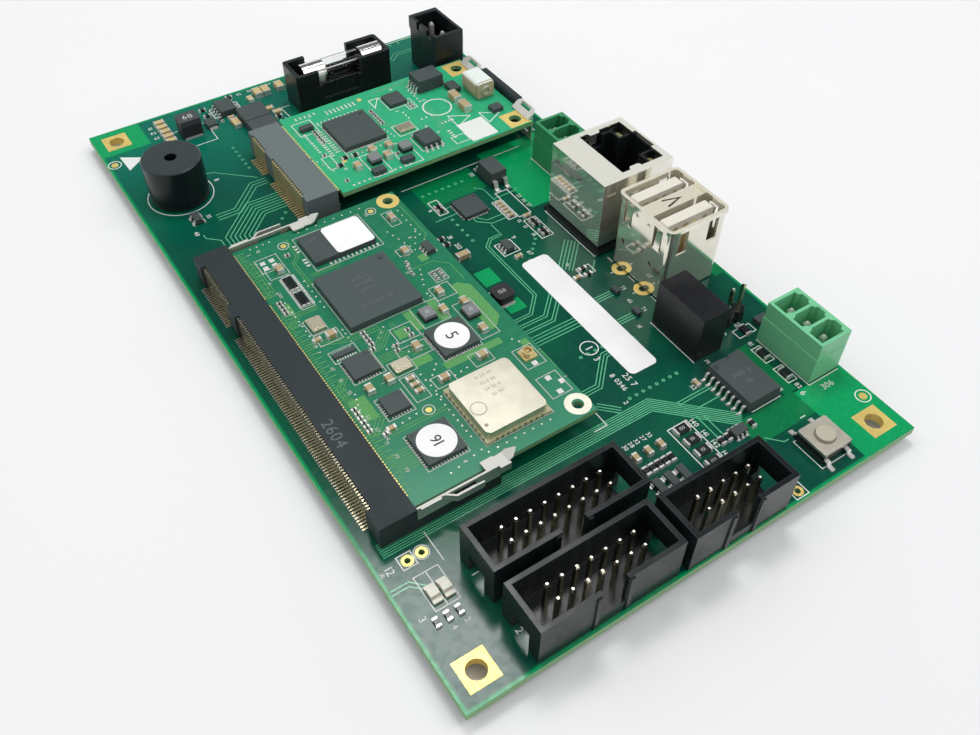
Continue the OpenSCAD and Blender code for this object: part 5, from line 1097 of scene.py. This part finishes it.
class CopperOperator(bpy.types.Operator):
    """Adds the carrier's tracks, vias, windows in the ground copper and gold pads."""

    bl_idname = "board.add_copper"
    bl_label = "Carrier copper"

    def execute(self, context):
        colours, sizes = context.scene.board_colours, context.scene.board_sizes
        copper = sizes.copper
        window, half_window, pad = layer(0, copper * 0.4), layer(0, copper * 0.3), layer(0, copper)
        lit = mask_film("Lit mask", tuple(colours.mask_lit))
        half_lit = mask_film("Half lit mask", scaled(colours.mask_lit, 0.55))
        track = mask_film("Mask on copper", tuple(colours.mask_track))
        gold = pad_metal("Pad gold", colours.gold, 0.32, 0.5)
        add_piece("mask_windows", patches(LIT_WINDOWS, window), lit)
        add_piece("mask_half_windows", patches(HALF_LIT, half_window), half_lit)
        add_piece("signal_tracks", stepped(bundles(TRACKS, sizes.track, pad)), track)
        holes = np.vstack([row(*line) for line in VIAS])
        add_piece("vias", rings(holes, *VIA, layer(0, copper * 1.2), 16), track)
        under = (-BOARD_DEEP - copper, -BOARD_DEEP + sizes.sunk)
        wall = (-BOARD_DEEP - copper * 0.8, copper * 0.8)
        add_piece("gold_pads", join([
            square_rings(CORNER_HOLES, CORNER_PAD, CORNER_HOLE, pad),
            square_rings(CORNER_HOLES, CORNER_PAD, CORNER_HOLE, under),
            rings(CORNER_HOLES, CORNER_HOLE - WALL, CORNER_HOLE, wall, 48), discs(FIDUCIALS, FIDUCIAL, pad),
            rings(PORT_RINGS, *PORT_RING, layer(0, copper * 1.4)), rings(TEST_PADS, *TEST_PAD, pad)]),
            gold)
        return {"FINISHED"}


class CarrierPrintOperator(bpy.types.Operator):
    """Adds the carrier's printed outlines and plain numbers."""

    bl_idname = "board.add_carrier_print"
    bl_label = "Carrier print"

    def execute(self, context):
        sizes = context.scene.board_sizes
        ink, line = layer(0, sizes.ink), sizes.line
        white = ink_finish("White print", tuple(context.scene.board_colours.print_white))
        add_piece("carrier_print", stepped([
            *outlines(PRINT_BOXES, line, ink), filled(TRIANGLE, ink), numbers(NUMBERS, ink),
            *(strip(np.reshape(path, (-1, 2)), line, ink) for path in PRINT_LINES),
            *(rings([centre], r0, r1, ink, 48) for *centre, r0, r1 in PRINT_RINGS),
            rings(FIDUCIALS, *FIDUCIAL_RING, ink)]), white)
        return {"FINISHED"}


class ModuleDetailOperator(bpy.types.Operator):
    """Adds the computer module's copper areas, tracks, pads, outlines and numbers."""

    bl_idname = "board.add_module_detail"
    bl_label = "Module copper and print"

    def execute(self, context):
        colours, sizes = context.scene.board_colours, context.scene.board_sizes
        area, pad, ring, ink = (layer(MODULE_TOP, rise) for rise in (
            sizes.copper * 0.6, sizes.copper, sizes.copper * 1.5, sizes.ink))
        fill_in = mask_film("Module mask on copper", (0.110, 0.330, 0.110))
        white = ink_finish("Module print", scaled(colours.print_white, 0.7))
        gold = pad_metal("Module gold", colours.gold, 0.3, 0.4)
        tin = pad_metal("Bare module pads", colours.tin, 0.4, 0.4, dull=0.5)
        tinned = pad_metal("Tinned ring", (0.88, 0.86, 0.70), 0.34, 0.35)
        add_piece("module_copper", stepped([
            *(filled(outline, area) for outline in MODULE_FILLS), patches(MODULE_PATCHES, area),
            marks(FINGER_TRACKS, pad), *bundles(MODULE_TRACKS, MODULE_TRACK, pad)]), fill_in)
        add_piece("module_print", stepped([
            *outlines(MODULE_BOXES, MODULE_LINE, ink), numbers(MODULE_NUMBERS + FINGER_NUMBERS, ink),
            rings(MODULE_FIDUCIALS, *SMALL_FIDUCIAL_RING, ink)]), white)
        gold_ring, tin_ring = (rings(centre, *CORNER_RING, ring, 40) for centre in CORNER_RINGS)
        add_piece("module_gold_pads", join([
            discs(MODULE_FIDUCIALS, SMALL_FIDUCIAL, pad), marks(FINGERS, pad), gold_ring]), gold)
        add_piece("module_tinned_ring", tin_ring, tinned)
        holes = np.vstack([row(*line) for line in MODULE_VIAS])
        antenna = marks([(x, y, 0, 0, 1, 1, 1) for x, y in ANTENNA_PADS], pad)
        add_piece("module_bare_pads", join([
            marks(MODULE_ROWS, pad), antenna, discs(holes, MODULE_VIA, pad, 10)]), tin)
        return {"FINISHED"}


class CardDetailOperator(bpy.types.Operator):
    """Adds the mini card's pads, tracks, outlines, marks and numbers."""

    bl_idname = "board.add_card_detail"
    bl_label = "Mini card copper and print"

    def execute(self, context):
        colours, sizes = context.scene.board_colours, context.scene.board_sizes
        pad, ink = layer(CARD_TOP, sizes.copper), layer(CARD_TOP, sizes.ink)
        track = mask_film("Card mask on copper", (0.120, 0.420, 0.230))
        white = ink_finish("Card print", tuple(colours.print_white))
        gold = pad_metal("Card gold", colours.gold, 0.34, 0.35)
        tin = pad_metal("Bare card pads", colours.tin, 0.4, 0.4, dull=0.5)
        add_piece("card_tracks", stepped(bundles(CARD_TRACKS, CARD_TRACK, pad)), track)
        add_piece("card_print", stepped([
            *outlines(CARD_BOXES, CARD_LINE, ink), patches(CARD_PATCH, ink), numbers(CARD_NUMBERS, ink),
            *(strip(corners, TRIANGLE_LINE, ink, closed=True) for corners in CARD_TRIANGLES),
            rings(CARD_RING_CENTRE, *CARD_RING, ink, 48)]), white)
        add_piece("card_gold_pads", join([
            square_rings(CARD_PADS, CARD_PAD, CARD_HOLE, pad), discs(CARD_FIDUCIALS, SMALL_FIDUCIAL, pad),
            marks(CARD_FINGERS, pad)]), gold)
        add_piece("card_bare_pads", marks(CARD_ROWS, pad), tin)
        return {"FINISHED"}


class SolderOperator(bpy.types.Operator):
    """Adds the wetted solder under every lead and end cap, and the lands round the flat chips."""

    bl_idname = "board.add_solder"
    bl_label = "Solder lands"

    def execute(self, context):
        colour = tuple(context.scene.board_colours.tin)
        solder = metal("Wetted solder", colour, 0.24, depth=0.02, dull=0.3, plating=0.6)
        leads, levels = ("chip_leads", "chip_end_caps", "switch_leads"), (0.0, MODULE_TOP, CARD_TOP)
        shapes = [puddles(feet(leads, level), layer(level, LEAD_SOLDER)) for level in levels]
        combs = ("sodimm_contacts", "card_socket_contacts")
        contacts = feet(combs, 0.0, along=0.2, across=0.05, sizes=(0.05, 3.0))
        shapes.append(puddles(contacts, layer(0.0, CONTACT_SOLDER)))
        for node, level, least in (("module_control_chips", MODULE_TOP, 3.5), ("card_chips", CARD_TOP, 9.0),
                                   ("carrier_chips", 0.0, 5.0)):
            shapes.append(patches(lands(node, level, least), layer(level, LAND)))
        add_piece("solder_lands", join(shapes), solder, smooth=True)
        return {"FINISHED"}


class PartMarksOperator(bpy.types.Operator):
    """Adds the plain marks on the parts: stickers' numbers, chips' dots and the small parts' values."""

    bl_idname = "board.add_part_marks"
    bl_label = "Marks on the parts"

    def execute(self, context):
        dark, pale, etched, faint = (ink_finish(name, colour) for name, colour in (
            ("Dark print", (0.020, 0.020, 0.022)), ("Pale print", (0.520, 0.530, 0.520)),
            ("Etched mark", (0.330, 0.320, 0.250)), ("Faint part print", (0.105, 0.125, 0.123))))
        dot = moulded("Chip dot", (0.045, 0.046, 0.052), 0.3)
        thick, thin = 0.02, 0.012
        add_piece("sticker_numbers", self.laid(STICKER_NUMBERS, thick), dark)
        add_piece("part_values", self.laid(PART_VALUES, thick), pale)
        dots = [discs((x, y), r, layer(z, thin)) for z, x, y, r in CHIP_DOTS]
        add_piece("chip_dots", join(dots), dot)
        add_piece("faint_part_numbers", self.laid(FAINT_NUMBERS, thin), faint)
        lid = layer(LID_TOP, thin)
        add_piece("lid_marks", join([
            self.laid(LID_NUMBERS, thin), rings(LID_RING_CENTRE, *LID_RING, lid),
            discs(LID_DOT_CENTRE, LID_DOT, lid)]), etched)
        return {"FINISHED"}

    def laid(self, table, rise):
        """Numbers on the tops of parts, from rows that start with the top's height."""
        return join([numbers([item], layer(z, rise)) for z, *item in table])


OPERATORS = (StageOperator, PartFinishOperator, BoardFinishOperator, CopperOperator, CarrierPrintOperator,
             ModuleDetailOperator, CardDetailOperator, SolderOperator, PartMarksOperator)


class BoardPanel(bpy.types.Panel):
    """Lists the steps that dress the board, with its colours and sizes."""

    bl_idname = "VIEW3D_PT_board"
    bl_label = "Carrier board"
    bl_space_type = "VIEW_3D"
    bl_region_type = "UI"
    bl_category = "Board"

    def draw(self, context):
        layout = self.layout
        for group in (context.scene.board_colours, context.scene.board_sizes):
            for label in group.__annotations__:
                layout.prop(group, label)
        for operator in OPERATORS:
            layout.operator(operator.bl_idname)


CLASSES = (BoardColours, BoardSizes, *OPERATORS, BoardPanel)


def register():
    """Adds the classes and the scene's settings."""
    for kind in CLASSES:
        bpy.utils.register_class(kind)
    bpy.types.Scene.board_colours = bpy.props.PointerProperty(type=BoardColours)
    bpy.types.Scene.board_sizes = bpy.props.PointerProperty(type=BoardSizes)


def unregister():
    """Takes them away again."""
    del bpy.types.Scene.board_sizes
    del bpy.types.Scene.board_colours
    for kind in reversed(CLASSES):
        bpy.utils.unregister_class(kind)


def main():
    """Dresses the board."""
    register()
    for operator in OPERATORS:
        family, action = operator.bl_idname.split(".")
        getattr(getattr(bpy.ops, family), action)()


if __name__ == "__main__":
    main()
